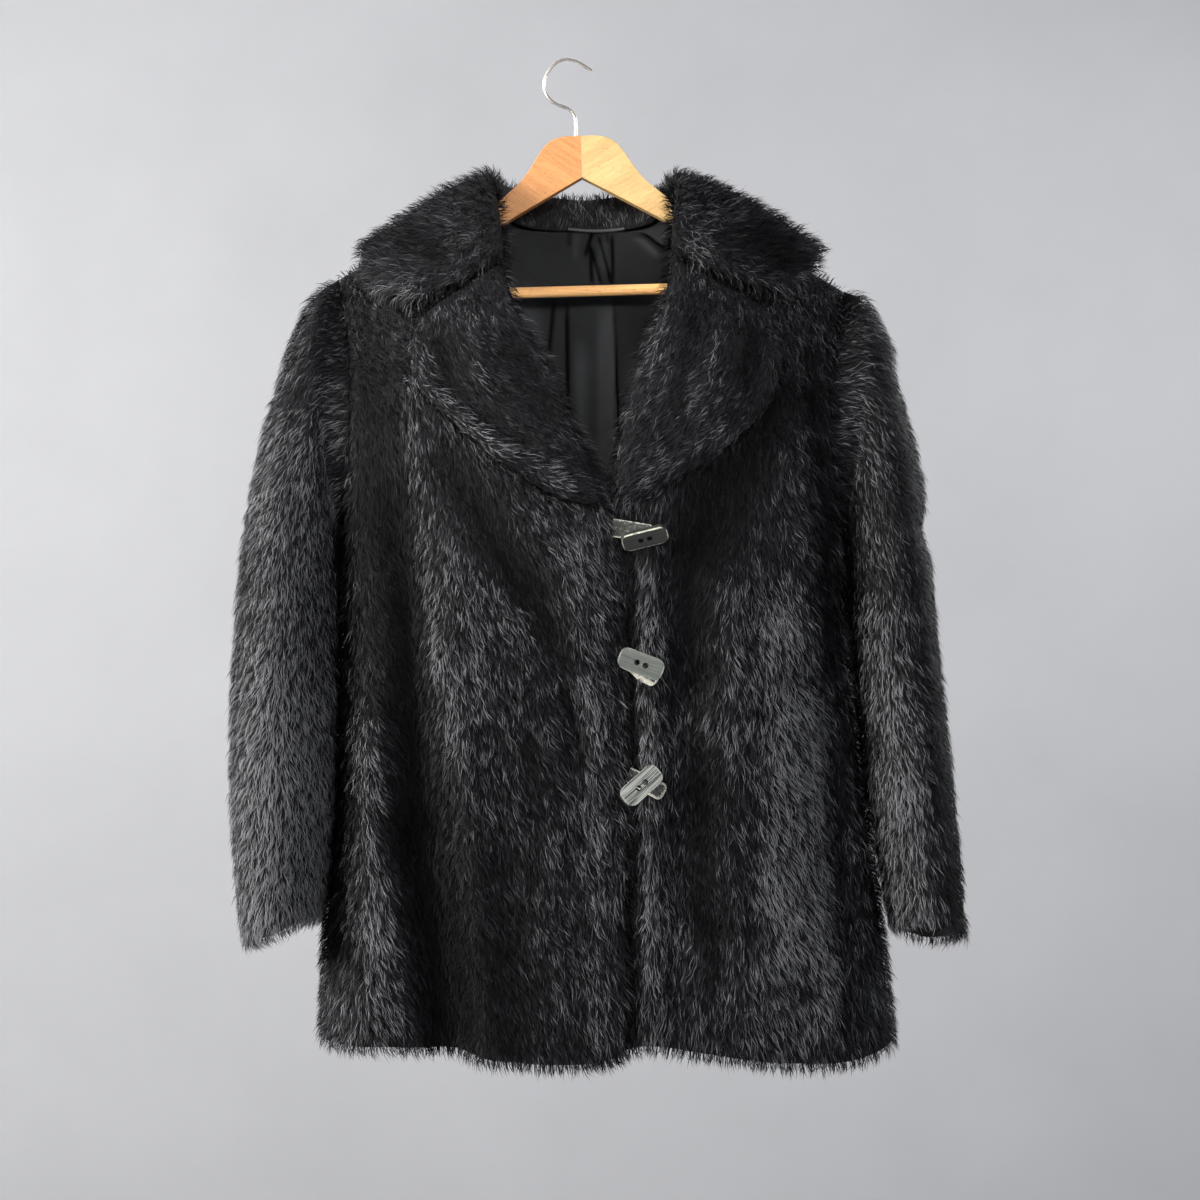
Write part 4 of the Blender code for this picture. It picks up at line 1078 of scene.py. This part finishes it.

# Soft troughs (negative) and ridges of each piece. Besides pushing the cloth, they give the strands
# painted shade in troughs and painted light on ridges, where the pile turns away from or towards
# the window. The columns are x_top z_top x_low z_low width height.
DRAPES = {
    "front_right": (
        (-172, -285, -160, -470, 22, -3.8),
        (-164, -240, -160, -400, 30, -2.0),
        (-157, -400, -134, -720, 25, -6.5),
        (-134, -690, -92, -900, 28, -8.0),
        (-141, -300, -106, -560, 7, 3.2),
        (-106, -540, -88, -650, 8, 2.4),
        (-174, -600, -158, -860, 15, 3.4),
        (-206, -440, -207, -820, 9, -4.0),
        (-108, -362, -30, -492, 16, -4.8),
        (-30, -480, 4, -560, 13, -3.2),
        (8, -440, 20, -545, 17, 2.4),
        (26, -560, 28, -880, 12, 2.4),
        (-92, -470, -72, -600, 17, 2.0),
        (-62, -700, -50, -900, 27, -2.6),
        (-33, -600, -26, -700, 8, -1.8),
        (-2, -574, 13, -622, 5, -2.8),
        (10, -560, 24, -610, 5, 1.6),
        (-66, -476, -33, -520, 4, 2.2),
        (-15, -690, -8, -860, 9, 1.5),
    ),
    "front_left": (
        (60, -420, 59, -900, 6, -4.0),
        (72, -460, 78, -850, 9, 2.6),
        (172, -300, 118, -455, 32, -8.5),
        (112, -440, 117, -570, 17, -4.8),
        (118, -620, 124, -790, 15, -4.0),
        (128, -770, 136, -835, 15, -2.8),
        (146, -480, 150, -640, 10, 1.6),
        (150, -250, 168, -330, 22, -3.0),
        (188, -500, 198, -820, 21, 4.0),
        (212, -580, 226, -880, 13, 3.4),
        (176, -690, 179, -770, 11, 2.2),
        (168, -800, 196, -895, 22, 1.4),
        (218, -270, 234, -560, 8, -3.6),
        (238, -550, 246, -880, 6, -2.0),
        (158, -660, 160, -800, 6, -1.8),
        (206, -600, 210, -820, 4, -1.6),
    ),
    "back": (
        (-150, -330, -118, -640, 20, -4.0),
        (-122, -600, -104, -890, 17, -5.0),
        (-80, -520, -64, -880, 15, 3.0),
        (-28, -300, -16, -620, 22, 2.4),
        (-8, -600, 8, -885, 14, -3.6),
        (46, -420, 56, -700, 16, -3.0),
        (84, -560, 96, -890, 19, 3.2),
        (128, -330, 140, -590, 18, -3.4),
        (160, -620, 178, -890, 15, -4.4),
        (206, -420, 222, -800, 13, 3.0),
        (-188, -560, -190, -860, 12, 3.0),
    ),
    "sleeve_right": (
        (-252, -330, -256, -560, 27, 3.4),
        (-254, -560, -248, -800, 33, 7.0),
        (-226, -330, -222, -800, 14, 2.6),
        (-201, -430, -197, -800, 6, -5.0),
        (-238, -300, -240, -420, 9, -2.2),
        (-285, -470, -262, -500, 8, -1.6),
        (-287, -640, -258, -668, 8, -1.5),
    ),
    "sleeve_left": (
        (298, -280, 322, -450, 15, -5.0),
        (326, -420, 350, -780, 13, -5.5),
        (274, -500, 294, -680, 16, 3.4),
        (290, -640, 306, -800, 17, 3.4),
        (262, -300, 272, -470, 12, 1.4),
        (258, -560, 278, -780, 8, -3.0),
        (296, -470, 322, -500, 8, -1.6),
    ),
    "lapel_right": (
        (-104, -232, -130, -268, 8, 2.6),
        (-131, -268, -127, -306, 8, 3.4),
        (-124, -308, -84, -348, 8, 3.8),
        (-84, -350, 4, -402, 8, 3.8),
        (-110, -262, -98, -318, 9, -4.2),
        (-96, -320, -34, -366, 7, -3.0),
        (-80, -238, -74, -314, 8, 2.0),
        (-52, -262, -14, -345, 14, -3.0),
    ),
    "lapel_left": (
        (166, -252, 158, -318, 9, -3.4),
        (178, -262, 176, -312, 6, 1.6),
        (138, -250, 118, -340, 9, 1.6),
        (120, -240, 100, -320, 9, -2.2),
        (150, -345, 70, -394, 7, 2.0),
        (88, -232, 74, -300, 8, 1.6),
    ),
    "collar": (
        (-146, -170, -106, -198, 15, -4.2),
        (-172, -212, -116, -232, 10, 3.2),
        (-92, -150, -78, -190, 9, 1.4),
        (112, -160, 120, -226, 14, 2.4),
        (156, -168, 196, -204, 15, -3.4),
        (160, -224, 208, -212, 9, 2.4),
    ),
}
# Painted light and shade: strands are made lighter on ridges and darker in troughs by this
DRAPE_PAINTED_SHADE = 0.085     # strands are lighter by this for each millimetre that they stand proud
# Pieces whose strands carry painted light (positive) or painted shade (negative) all over
PIECE_PAINTED_SHADE = {"front_left": 0.05, "sleeve_right": 0.10, "lapel_right": -0.12,
                 "lapel_left": -0.02, "back": 0.06, "collar": -0.08}
BEHIND_Y = 8            # behind the hanger from here on
COLLAR_BEHIND = 0.14    # the collar is lighter by this there


def drape(name, points):
    """How far a piece's troughs and ridges push it outwards at each point."""
    x, z = points[..., 0], points[..., 2]
    total = np.zeros(x.shape)
    for x_top, z_top, x_low, z_low, width, height in DRAPES[name]:
        run_x, run_z = x_low - x_top, z_low - z_top
        length = math.hypot(run_x, run_z)
        along = ((x - x_top) * run_x + (z - z_top) * run_z) / length
        across = ((x - x_top) * run_z - (z - z_top) * run_x) / length / width
        ends = smooth((along / width + 1) / 2) * smooth(((length - along) / width + 1) / 2)
        total = total + height * np.exp(-across ** 2) * ends
    return total


def draped(name, outer, inner, fade):
    """Both surfaces of a piece with its troughs and ridges, which fade out at its seams."""
    push = (drape(name, outer) * fade)[..., None] * unit(outer - inner)
    return outer + push, inner + push


def seam_fade(shape, first=0, last=0, top=0):
    """1 in a panel's middle, falling to 0 over so many columns or top rows."""
    columns, rows = np.arange(shape[1]), np.arange(shape[0])
    fade = np.ones(shape[:2])
    if first:
        fade = fade * smooth(columns / first)
    if last:
        fade = fade * smooth(columns[::-1] / last)
    if top:
        fade = fade * smooth(rows[::-1] / top)[:, None]
    return fade


SLEEVE_ROWS = 84
CUFF_ROWS = 14          # of them carry the sleeve lining
LAPEL_ROWS = 44
LAPEL_ACROSS = 20
COLLAR_ROWS = 26
# Columns and top rows over which the troughs fade out at a panel's seams
SEAM_FADES = {"front_right": {"first": 5, "top": 12}, "front_left": {"last": 5, "top": 12},
              "back": {"first": 6, "last": 6, "top": 24}}
SLEEVE_FADE = 16
COLLAR_FADE = 9


def sleeve_walls(side):
    """The surfaces of a sleeve, and those of the lining's end inside its cuff."""
    name = f"sleeve_{side}"
    outer = finer(sleeve_grid(side), SLEEVE_ROWS)
    normal = grid_normals(outer, wrap=True) * -SIGN[side]
    head = outer[0] - outer[0].mean(0)
    head[:, 0] = 0
    normal[0] = unit(head)
    fade = seam_fade(outer.shape, top=SLEEVE_FADE)[::-1]
    outer = outer + (drape(name, outer) * fade)[..., None] * normal
    normal[1:] = (grid_normals(outer, wrap=True) * -SIGN[side])[1:]
    lining = (outer - normal * (WALL + LINING_GAP))[-CUFF_ROWS:]
    return (outer, outer - normal * WALL), (lining, lining - normal[-CUFF_ROWS:] * LINING_WALL)


def fine_lapel(side):
    """A lapel's surfaces with closer rows and columns, and troughs and ridges in the outer one."""
    outer, inner = (finer(finer(surface, LAPEL_ROWS).swapaxes(0, 1), LAPEL_ACROSS).swapaxes(0, 1)
                    for surface in lapel_walls(side))
    push = drape(f"lapel_{side}", outer)
    return outer - push[..., None] * (0, 1, 0), inner


walls = {}
for name, (outer, inner) in (("front_right", front_walls("right")),
                             ("front_left", front_walls("left")), ("back", back_walls())):
    walls[name] = draped(name, outer, inner, seam_fade(outer.shape, **SEAM_FADES[name]))
for side in ("right", "left"):
    walls[f"sleeve_{side}"], walls[f"sleeve_lining_{side}"] = sleeve_walls(side)
    walls[f"lapel_{side}"] = fine_lapel(side)
outer, inner = (finer(surface, COLLAR_ROWS) for surface in collar_walls())
walls["collar"] = draped("collar", outer, inner,
                         0.6 * (1 - seam_fade(outer.shape, top=COLLAR_FADE)) + 0.2)

pieces = {}
for name, (outer, inner) in walls.items():
    lined = name.startswith("sleeve_lining")
    outside, inside = (satin, satin) if lined else (fur_base, knit)
    thing = wall(name + "_cloth", outer, inner, outside, inside, name.startswith("sleeve"))
    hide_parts(name)
    if lined:
        give_uv(thing.data, "crease", np.full((len(thing.data.vertices), 2), 0.5))
    pieces[name] = thing


def obstacle_tree(things):
    """One search tree over every piece that strands must stay clear of."""
    points, faces = [], []
    for thing in things:
        base = len(points)
        matrix = thing.matrix_world
        points += [(matrix @ v.co) / MM for v in thing.data.vertices]
        faces += [[base + k for k in polygon.vertices] for polygon in thing.data.polygons]
    return BVHTree.FromPolygons(points, faces)


hard = [thing for name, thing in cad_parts.items() if name.startswith(("hanger", "toggle"))]
overlays = [pieces[name] for name in ("lapel_right", "lapel_left", "collar")]
under_overlays = obstacle_tree([*overlays, *hard])
beside_hanger = obstacle_tree(hard)


def sheen_patches(x, z):
    """Slow light and dark patches of painted sheen, where the nap lies differently."""
    return 0.07 * np.sin(x / 29 + 2 * np.sin(z / 43)) * np.sin(z / 37 + x / 61) \
        + 0.04 * np.sin(x / 11 + z / 17) * np.sin(z / 9 - x / 23)


piles = {}


def lay_pile(cloth, grid, normal, angle, tree, around, length=PILE_LENGTH, lift=PILE_LIFT,
             wrap=False, spacing=PILE_SPACING, shag=1.0, behind=0.0, name=None):
    """Strands on a grid whose rows rise; around is the share of a turned rim at each point, and
    behind makes the ones behind the hanger lighter."""
    lift = lift + (RIM_LIFT - lift) * around
    angle = angle + wander(grid[..., 0], grid[..., 2])
    pile = Pile(grid, normal, angle, spacing, length, lift, wrap)

    def tone(root):
        # painted light and shade of the piece, of its troughs and ridges, and painted sheen
        # patches, plus the lighter collar behind the hanger
        general = behind * (root[:, 1] > BEHIND_Y) + PIECE_PAINTED_SHADE.get(cloth, 0.0)
        return general + DRAPE_PAINTED_SHADE * drape(cloth, root) + sheen_patches(root[:, 0], root[:, 2])

    thing = strands(f"{name or cloth}_pile", pile, tree, fur, tone, shag)
    piles.setdefault(cloth, []).append(thing)


def pile_grid(name, rows=(), columns=(), wrap=False, falls=False):
    """A piece's outer surface carried round the named rims, its outward normals and each point's
    share of a rim. Rows that fall are turned round, so that all rise."""
    outer, inner = walls[name]
    grid, around = rolled(outer, inner, rows, columns)
    normal = grid_normals(grid, wrap) * facing(outer, inner, wrap)
    order = -1 if falls else 1
    return grid[::order], normal[::order], around[::order]


SEAM_LEAN = 40.0        # the nap leans this much over a side seam, so that it covers it
SEAM_REACH = 6.0        # within this distance of the seam, measured across the coat


def seam_lean(grid, column):
    """How much the nap leans near the side seam at one end of a grid's columns."""
    away = abs(grid[..., 0] - grid[:, column, 0][:, None])
    return SEAM_LEAN * (1 - smooth(away / SEAM_REACH))


for side, seam, edge in (("right", 0, -1), ("left", -1, 0)):
    grid, normal, around = pile_grid(f"front_{side}", rows=(0,), columns=(edge,))
    angle = np.interp(grid[..., 0], NAP[side]["x"], NAP[side]["angle"])
    angle = angle + SIGN[side] * seam_lean(grid, seam)
    lay_pile(f"front_{side}", grid, normal, angle, under_overlays, around)

    grid, normal, around = pile_grid(f"sleeve_{side}", rows=(-1,), wrap=True, falls=True)
    lay_pile(f"sleeve_{side}", grid, normal, SLEEVE_NAP[side], under_overlays, around,
             length=13.5, lift=28.0, wrap=True, spacing=2.1)

    grid, normal, around = pile_grid(f"lapel_{side}", rows=(0, -1), columns=(0, -1), falls=True)
    lay_pile(f"lapel_{side}", grid, normal, LAPEL_NAP[side], beside_hanger, around, length=13.0)

grid, normal, around = pile_grid("back", rows=(0,))
lean = seam_lean(grid, 0) - seam_lean(grid, -1)
middle = grid.shape[1] // 2
for side, part in (("right", slice(0, middle + 1)), ("left", slice(middle, None))):
    lay_pile("back", grid[:, part], normal[:, part], lean[:, part], under_overlays,
             around[:, part], spacing=2.2, name=f"back_{side}")

COLLAR_END_LEAN = 48    # degrees that the nap turns outwards near the collar's two ends
grid, normal, around = pile_grid("collar", rows=(-1,), columns=(0, -1), falls=True)
row, column = np.mgrid[:grid.shape[0], :grid.shape[1]]
row = row[::-1]                                         # 0 at the neck seam
column = column / (grid.shape[1] - 1)
fore = smooth(abs(column - 0.5) / 0.5 * 2.2 - 0.7)      # 1 in front, 0 behind the neck
stand = 1 - smooth((row - 4) / 8)                       # 1 on the stand, 0 on the leaf
length = (9 + 5 * fore) * stand + (10 + 5 * fore) * (1 - stand)
lean = COLLAR_END_LEAN * (smooth((0.16 - column) / 0.12) - smooth((column - 0.84) / 0.12))
lay_pile("collar", grid, normal, lean, beside_hanger, around, length=length,
         lift=40 + 6 * stand, shag=2.0, behind=COLLAR_BEHIND)

# ---------------------------------------------------------------- lining and hang loop

# Creases of the back lining: where each starts and ends, its width and how far it
# stands out (positive) or sinks in. A sharp one falls away steeply on one side only.
LINING_CREASES = table("x_top z_top x_low z_low width height sharp",
                       (23.9, -151, 15.3, -178, 1.7, -3.0, 0),
                       (21.5, -162, 22.9, -205, 1.7, -3.2, 0),
                       (22.0, -166, 33.3, -208, 1.8, -3.2, 0),
                       (28.6, -153, 43.8, -210, 1.9, -3.4, 0),
                       (31.0, -158, 38.0, -196, 4.5, 1.8, 0),
                       (26.5, -172, 29.0, -215, 3.5, 1.5, 0),
                       (1.5, -151, 0.1, -168, 2.4, -1.4, 0),
                       (8.0, -152, 6.5, -182, 4.0, 1.2, 0),
                       (36.5, -152, 38.4, -164, 1.8, -1.3, 0),
                       (42.0, -152, 43.0, -206, 1.6, -2.6, 0),
                       (43.0, -198, 52.0, -450, 1.5, -3.4, 0),
                       (64.7, -157, 92.0, -182, 6.0, 2.2, 0),
                       (70.0, -153, 99.0, -173, 5.0, -2.2, 0),
                       (-12.0, -212, -22.0, -300, 1.9, -2.4, 0),
                       (-1.0, -206, 1.0, -430, 1.7, -3.2, 0),
                       (12.0, -240, 10.0, -480, 8.0, 2.2, 0),
                       (34.0, -205, 36.0, -520, 7.0, 2.6, 0),
                       (44.0, -196, 48.5, -560, 3.6, 4.2, 1),
                       (66.0, -260, 58.0, -440, 9.0, 1.8, 0),
                       (-40.0, -190, -20.0, -330, 9.0, 1.8, 0),
                       (110.0, -260, 96.0, -620, 16.0, 3.0, 0),
                       (-90.0, -300, -76.0, -720, 18.0, 3.2, 0),
                       (160.0, -420, 150.0, -820, 14.0, -3.0, 0),
                       (-30.0, -460, -38.0, -850, 15.0, 2.8, 0),
                       (60.0, -520, 72.0, -860, 12.0, 2.4, 0))
LINING_COLUMNS = 170    # closer together behind the neck
LINING_ROWS = 120       # closer together near the top


LINING_HEM_LIFT = 25.0
LINING_NECK_DROP = 1.0
LINING_SHOULDER_DROP = 32.0
LINING_SIDE = 4         # columns of the back, at each side, that the lining stops short of
EVEN_COLUMNS, CROWDED_COLUMNS = 0.42, 0.58     # shares of an even and of a crowded spacing
EVEN_ROWS, CROWDED_ROWS = 0.35, 0.65
EASE_LOW_Z = -280.0     # the lining starts to stand further off above this height
EASE_RISE = 60.0
PLEAT_X = 24.0
PLEAT_WIDTH = 22.0
PLEAT_HEIGHT = 5.0
PLEAT_TOP_Z = -160.0
PLEAT_RUN = 90.0
# Painted shade in creases and painted light on crests: a crease this high makes one whole step
CREASE_SHADE_STEP = 5.0      # a crease of this height is a whole step of tone from flat satin


def crease(points):
    """How far the creases stand out of the lining."""
    x, z = points[..., 0], points[..., 2]
    total = np.zeros(x.shape)
    for *line, height, sharp in zip(*LINING_CREASES.values()):
        t, across = stroke(x, z, *line)
        shape = np.exp(-across ** 2)
        if sharp:
            shape = np.where(across > 0, np.exp(-(across * 5) ** 2), np.exp(-(across / 2.2) ** 2))
        total = total + height * shape * smooth(t / 0.18) * smooth((1 - t) / 0.3)
    return total


def lining_walls():
    """The back lining on the back's inner surface, crowded with columns behind the neck."""
    outer, inner = walls["back"]
    grid = back_grid(LINING_HEM_LIFT, LINING_NECK_DROP, LINING_SHOULDER_DROP)
    normal = grid_normals(outer) * facing(outer, inner)
    ease = LINING_EASE * smooth((grid[..., 2:] - EASE_LOW_Z) / EASE_RISE)
    inside = grid - normal * (WALL + LINING_GAP + ease)
    kept = slice(LINING_SIDE, -LINING_SIDE)
    inside, normal = inside[:, kept], normal[:, kept]
    middle = (inside.shape[1] - 1) / 2
    share = np.linspace(-1, 1, LINING_COLUMNS)
    at = middle + middle * (EVEN_COLUMNS * share + CROWDED_COLUMNS * share ** 3)
    inside, normal = (rows_at(part.swapaxes(0, 1), at).swapaxes(0, 1) for part in (inside, normal))
    share = np.linspace(0, 1, LINING_ROWS)
    at = (len(inside) - 1) * (EVEN_ROWS * share + CROWDED_ROWS * (1 - (1 - share) ** 2))
    inside, normal = rows_at(inside, at), unit(rows_at(normal, at))
    down = smooth((PLEAT_TOP_Z - inside[..., 2]) / PLEAT_RUN)
    pleat = PLEAT_HEIGHT * down * np.exp(-((inside[..., 0] - PLEAT_X) / PLEAT_WIDTH) ** 2)
    inside = inside - normal * (pleat + crease(inside))[..., None]
    return inside, inside - normal * LINING_WALL


outer, inner = lining_walls()
lining = wall("lining_back_cloth", outer, inner, satin, satin)
# Painted shade in the creases and painted light on their crests, kept in the crease map
depth = (0.5 + crease(outer).ravel() / CREASE_SHADE_STEP).clip(0.01, 0.99)
depth = np.stack([depth, np.full(len(depth), 0.5)], -1)
give_uv(lining.data, "crease", np.concatenate([depth, depth]))
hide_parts("lining_back")
pieces["lining_back"] = lining

HANG_LOOP_ENDS = (0.7, 53.2)
HANG_LOOP_Y = 21.7
HANG_LOOP_Z = -150.2
HANG_LOOP_SAG = 2.2
HANG_LOOP_BOW = 1.5     # its ends turn back into the neck seam by this
PLIES = 3
PLY_OFFSET = 0.72       # from the cord's middle
PLY_RADIUS = 0.68
PLY_PITCH = 6.5


def rope(name, path, ply_offset, ply_radius, pitch, plies, material, sides=6, steps=150):
    """A cord of twisted plies along a path of points."""
    line = finer(np.array(path, float), steps)
    run = unit(np.gradient(line, axis=0))
    side = unit(np.cross(run, (0.03, 1, 0.02)))
    other = np.cross(run, side)
    length = np.concatenate([[0], np.cumsum(np.linalg.norm(np.diff(line, axis=0), axis=-1))])
    points, faces = [], []
    turn = np.linspace(0, 2 * math.pi, sides, endpoint=False)
    for ply in range(plies):
        phase = (2 * math.pi * (length / pitch + ply / plies))[:, None]
        centre = line + ply_offset * (np.cos(phase) * side + np.sin(phase) * other)
        rings = (centre[:, None] + ply_radius * (np.cos(turn)[None, :, None] * side[:, None]
                                                 + np.sin(turn)[None, :, None] * other[:, None]))
        base = len(points) * steps * sides
        index = base + np.arange(steps * sides).reshape(steps, sides)
        points.append(rings.reshape(-1, 3))
        faces.append(grid_quads(np.concatenate([index, index[:, :1]], 1)))
    mesh = mesh_of(name, np.concatenate(points), np.concatenate(faces))
    turn_outwards(mesh, close=True)
    return add_object(name, mesh, material)


start, end = HANG_LOOP_ENDS
loop_path = []
for t in np.linspace(0, 1, 11):
    sag = HANG_LOOP_SAG * 4 * t * (1 - t)
    bow = HANG_LOOP_BOW * (2 * t - 1) ** 6
    loop_path.append((start + (end - start) * t, HANG_LOOP_Y + bow, HANG_LOOP_Z - sag))
cord = rope("hang_loop_braid", loop_path, PLY_OFFSET, PLY_RADIUS, PLY_PITCH, PLIES,
            thread_material("cord", (0.05, 0.048, 0.052)))
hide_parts("hang_loop")

# ---------------------------------------------------------------- toggles, hanger

TOGGLES = table("x y z turn tip swing",
                (68.9, -111.5, -445.1, 20, 46, 12),
                (65.7, -108.0, -553.3, -21, 5, 4),
                (66.1, -108.0, -658.0, 40, -12, 10))
# Each toggle's light and dark grain, how fine it is, how soft, and the colour of its pale rim, a
# painted highlight patchy like rubbed wear
HORN = (((0.034, 0.037, 0.031), (0.014, 0.016, 0.013), 420, 0.14, (0.62, 0.61, 0.50)),
        ((0.185, 0.198, 0.175), (0.105, 0.114, 0.100), 700, 0.12, (0.42, 0.43, 0.38)),
        ((0.400, 0.415, 0.370), (0.050, 0.054, 0.048), 900, 0.05, (0.42, 0.43, 0.38)))
LOOP_START = 1.2        # a loop's middle stands this far beyond the closing edge
LOOP_SAG = (0.0, 0.45, 0.1)
LEATHER_EDGE = 0.0016   # longest edge of a leather face, in metres
CRUMPLE_SCALE = 230     # crumples a metre
CRUMPLE = 0.0007        # their depth in metres, and that of finer ones
FINE_CRUMPLE = 0.0003
CRUMPLE_RUN = 0.012     # they reach their depth this far from the loop's middle
LOOPS = table("z width end_width length turn slope",
              (-436.0, 16, 14, 36, -8, 8),
              (-551.0, 14, 15, 34, -24, 9),
              (-650.0, 13, 15, 36, -26, 9))


def turned(turn, tip, swing):
    """The rotation of a toggle from its angles in degrees."""
    return (Matrix.Rotation(math.radians(swing), 3, "Z")
            @ Matrix.Rotation(math.radians(tip), 3, "X")
            @ Matrix.Rotation(-math.radians(turn), 3, "Y"))


def paint(node, material):
    """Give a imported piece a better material."""
    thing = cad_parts[node]
    for holder in thing.material_slots:
        holder.material = material
    if not thing.material_slots:
        thing.data.materials.append(material)


def worn_loop(node, centre, rotation, material, sag):
    """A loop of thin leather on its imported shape: closer points, pushed into small crumples.
    sag widens its lower half."""
    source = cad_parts[node]
    bm = bmesh.new()
    bm.from_mesh(source.data)
    bm.transform(source.matrix_world)
    bmesh.ops.remove_doubles(bm, verts=bm.verts, dist=1e-6)
    bmesh.ops.triangulate(bm, faces=bm.faces)
    for _ in range(5):
        long_edges = [edge for edge in bm.edges if edge.calc_length() > LEATHER_EDGE]
        if not long_edges:
            break
        bmesh.ops.subdivide_edges(bm, edges=long_edges, cuts=1)
        bmesh.ops.triangulate(bm, faces=bm.faces)
    middle = Vector(centre)
    through = rotation @ Vector((0, 1, 0))
    for vert in bm.verts:
        place = (vert.co - middle) * CRUMPLE_SCALE
        lift = (mathutils_noise.noise(place) * CRUMPLE
                + mathutils_noise.noise(place * 3) * FINE_CRUMPLE)
        vert.co += through * lift * min(1, (vert.co - middle).length / CRUMPLE_RUN)
        own = rotation.transposed() @ (vert.co - middle)
        own.z *= 1 + sag * max(0, -own.z) / 0.007 * min(1, max(0, own.x - 0.008) / 0.010)
        vert.co = rotation @ own + middle
    mesh = bpy.data.meshes.new(node + "_leather")
    bm.to_mesh(mesh)
    bm.free()
    mesh.polygons.foreach_set("use_smooth", np.ones(len(mesh.polygons), bool))
    loop = add_object(node + "_leather", mesh, material)
    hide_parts(node)
    return loop


black_thread = thread_material("thread", (0.012, 0.012, 0.013))
loops = []
for i, look in enumerate(HORN):
    centre = [TOGGLES[axis][i] * MM for axis in "xyz"]
    rotation = turned(TOGGLES["turn"][i], TOGGLES["tip"][i], TOGGLES["swing"][i])
    paint(f"toggle_{i + 1}", horn_material(f"horn_{i + 1}", centre, rotation.to_euler(), *look))
    z, turn = LOOPS["z"][i], LOOPS["turn"][i]
    edge, half = float(edge_x(z)), LOOPS["width"][i] / 2
    centre = [c * MM for c in (edge + LOOP_START + half * abs(math.sin(math.radians(turn))),
                               float(torso_y(edge, z, -1)) + WALL / 2 - 1, z)]
    rotation = turned(turn, 0, -LOOPS["slope"][i])
    leather = leather_material(f"leather_{i + 1}", centre, rotation.to_euler(), half * MM,
                               LOOPS["length"][i] * MM)
    loops.append(worn_loop(f"toggle_loop_{i + 1}", centre, rotation, leather, LOOP_SAG[i]))
    paint(f"toggle_thread_{i + 1}", black_thread)
# Each wooden piece's material: its name, the slope of its grain, its light and dark tones
WOODS = {
    "hanger_half_right": ("wood_orange", -0.53, (0.60, 0.27, 0.085), (0.47, 0.195, 0.055)),
    "hanger_half_left": ("wood_yellow", 0.53, (0.64, 0.43, 0.175), (0.54, 0.335, 0.12)),
    "hanger_bar": ("wood_bar", 0.0, (0.98, 0.56, 0.22), (0.84, 0.43, 0.15)),
}
for node, look in WOODS.items():
    paint(node, wood_material(*look))
paint("hanger_hook", wire_material())

# ---------------------------------------------------------------- root body

# Every added piece hangs from the root body
for thing in [*pieces.values(), cord, *loops, *[p for group in piles.values() for p in group]]:
    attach(thing, "root")

# ---------------------------------------------------------------- stage, light and camera

FLOOR_Z = -2.2
BACKDROP_Y = 3.0
BACKDROP_TOP = 4
STAGE_HALF = 9          # the stage reaches this far to both sides


def stage_plane(name, corners, color):
    """A plain surface of the surroundings, a little cloudy."""
    material, tree, shader = new_material(name, {"Roughness": 0.9})
    cloud = noise(tree, object_place(tree), 2.5, 4.0)
    low, high = (tuple(c * k for c in color) for k in (0.97, 1.03))
    plug(shader, "Base Color", ramp(tree, cloud, (0.3, low), (0.7, high)))
    mesh = bpy.data.meshes.new(name)
    mesh.from_pydata(corners, [], [(0, 1, 2, 3)])
    add_object(name, mesh, material)


near, far = -STAGE_HALF, STAGE_HALF
stage_plane("floor", [(near, near, FLOOR_Z), (far, near, FLOOR_Z), (far, far, FLOOR_Z),
                      (near, far, FLOOR_Z)], (0.62, 0.62, 0.63))
stage_plane("backdrop", [(near, BACKDROP_Y, FLOOR_Z), (far, BACKDROP_Y, FLOOR_Z),
                         (far, BACKDROP_Y, BACKDROP_TOP), (near, BACKDROP_Y, BACKDROP_TOP)],
            (0.36, 0.36, 0.37))


def lamp(name, place, target, size, watts, color, spread=180):
    """A rectangular lamp that shines from its place towards a target."""
    data = bpy.data.lights.new(name, "AREA")
    data.shape = "RECTANGLE"
    data.size, data.size_y = size
    data.energy = watts
    data.spread = math.radians(spread)
    data.color = color
    thing = add_object(name, data)
    thing.location = place
    thing.rotation_euler = (Vector(target) - Vector(place)).to_track_quat("-Z", "Y").to_euler()


MIDDLE = (0.03, 0.0, -0.5)
lamp("window", (-2.4, -1.35, 0.5), MIDDLE, (1.2, 1.5), 190, (1.0, 0.985, 0.96))
lamp("fill", (1.2, -3.0, 0.3), MIDDLE, (1.6, 1.6), 30, (0.95, 0.97, 1.0))
lamp("back_fill", (-0.8, 2.9, 2.4), MIDDLE, (1.6, 1.5), 50, (0.97, 0.98, 1.0))
lamp("side_fill", (3.0, 1.5, 0.9), MIDDLE, (1.4, 1.4), 95, (0.97, 0.98, 1.0))
lamp("backdrop_light", (-3.4, 0.6, 0.4), (-0.6, BACKDROP_Y, -0.5), (1.5, 2.0), 110,
     (1.0, 1.0, 1.0))
lamp("neck_light", (0.10, -1.9, 0.1), (0.01, -0.01, -0.26), (0.3, 0.3), 0.30,
     (1.0, 0.98, 0.95), 16)
world = bpy.data.worlds.new("room")
bpy.context.scene.world = world
world.use_nodes = True
background = world.node_tree.nodes["Background"]
background.inputs["Color"].default_value = (0.80, 0.84, 0.90, 1)
background.inputs["Strength"].default_value = 0.35

CAMERA_PLACE = (0.0305, -1.525, -0.4986)
CAMERA_LENS = 49.45
camera_data = bpy.data.cameras.new("camera")
camera_data.sensor_width = 36.0
camera_data.lens = CAMERA_LENS
camera = add_object("camera", camera_data)
camera.location = CAMERA_PLACE
camera.rotation_euler = Euler((math.pi / 2, 0, 0))
bpy.context.scene.camera = camera
bpy.context.scene.view_settings.view_transform = "Standard"
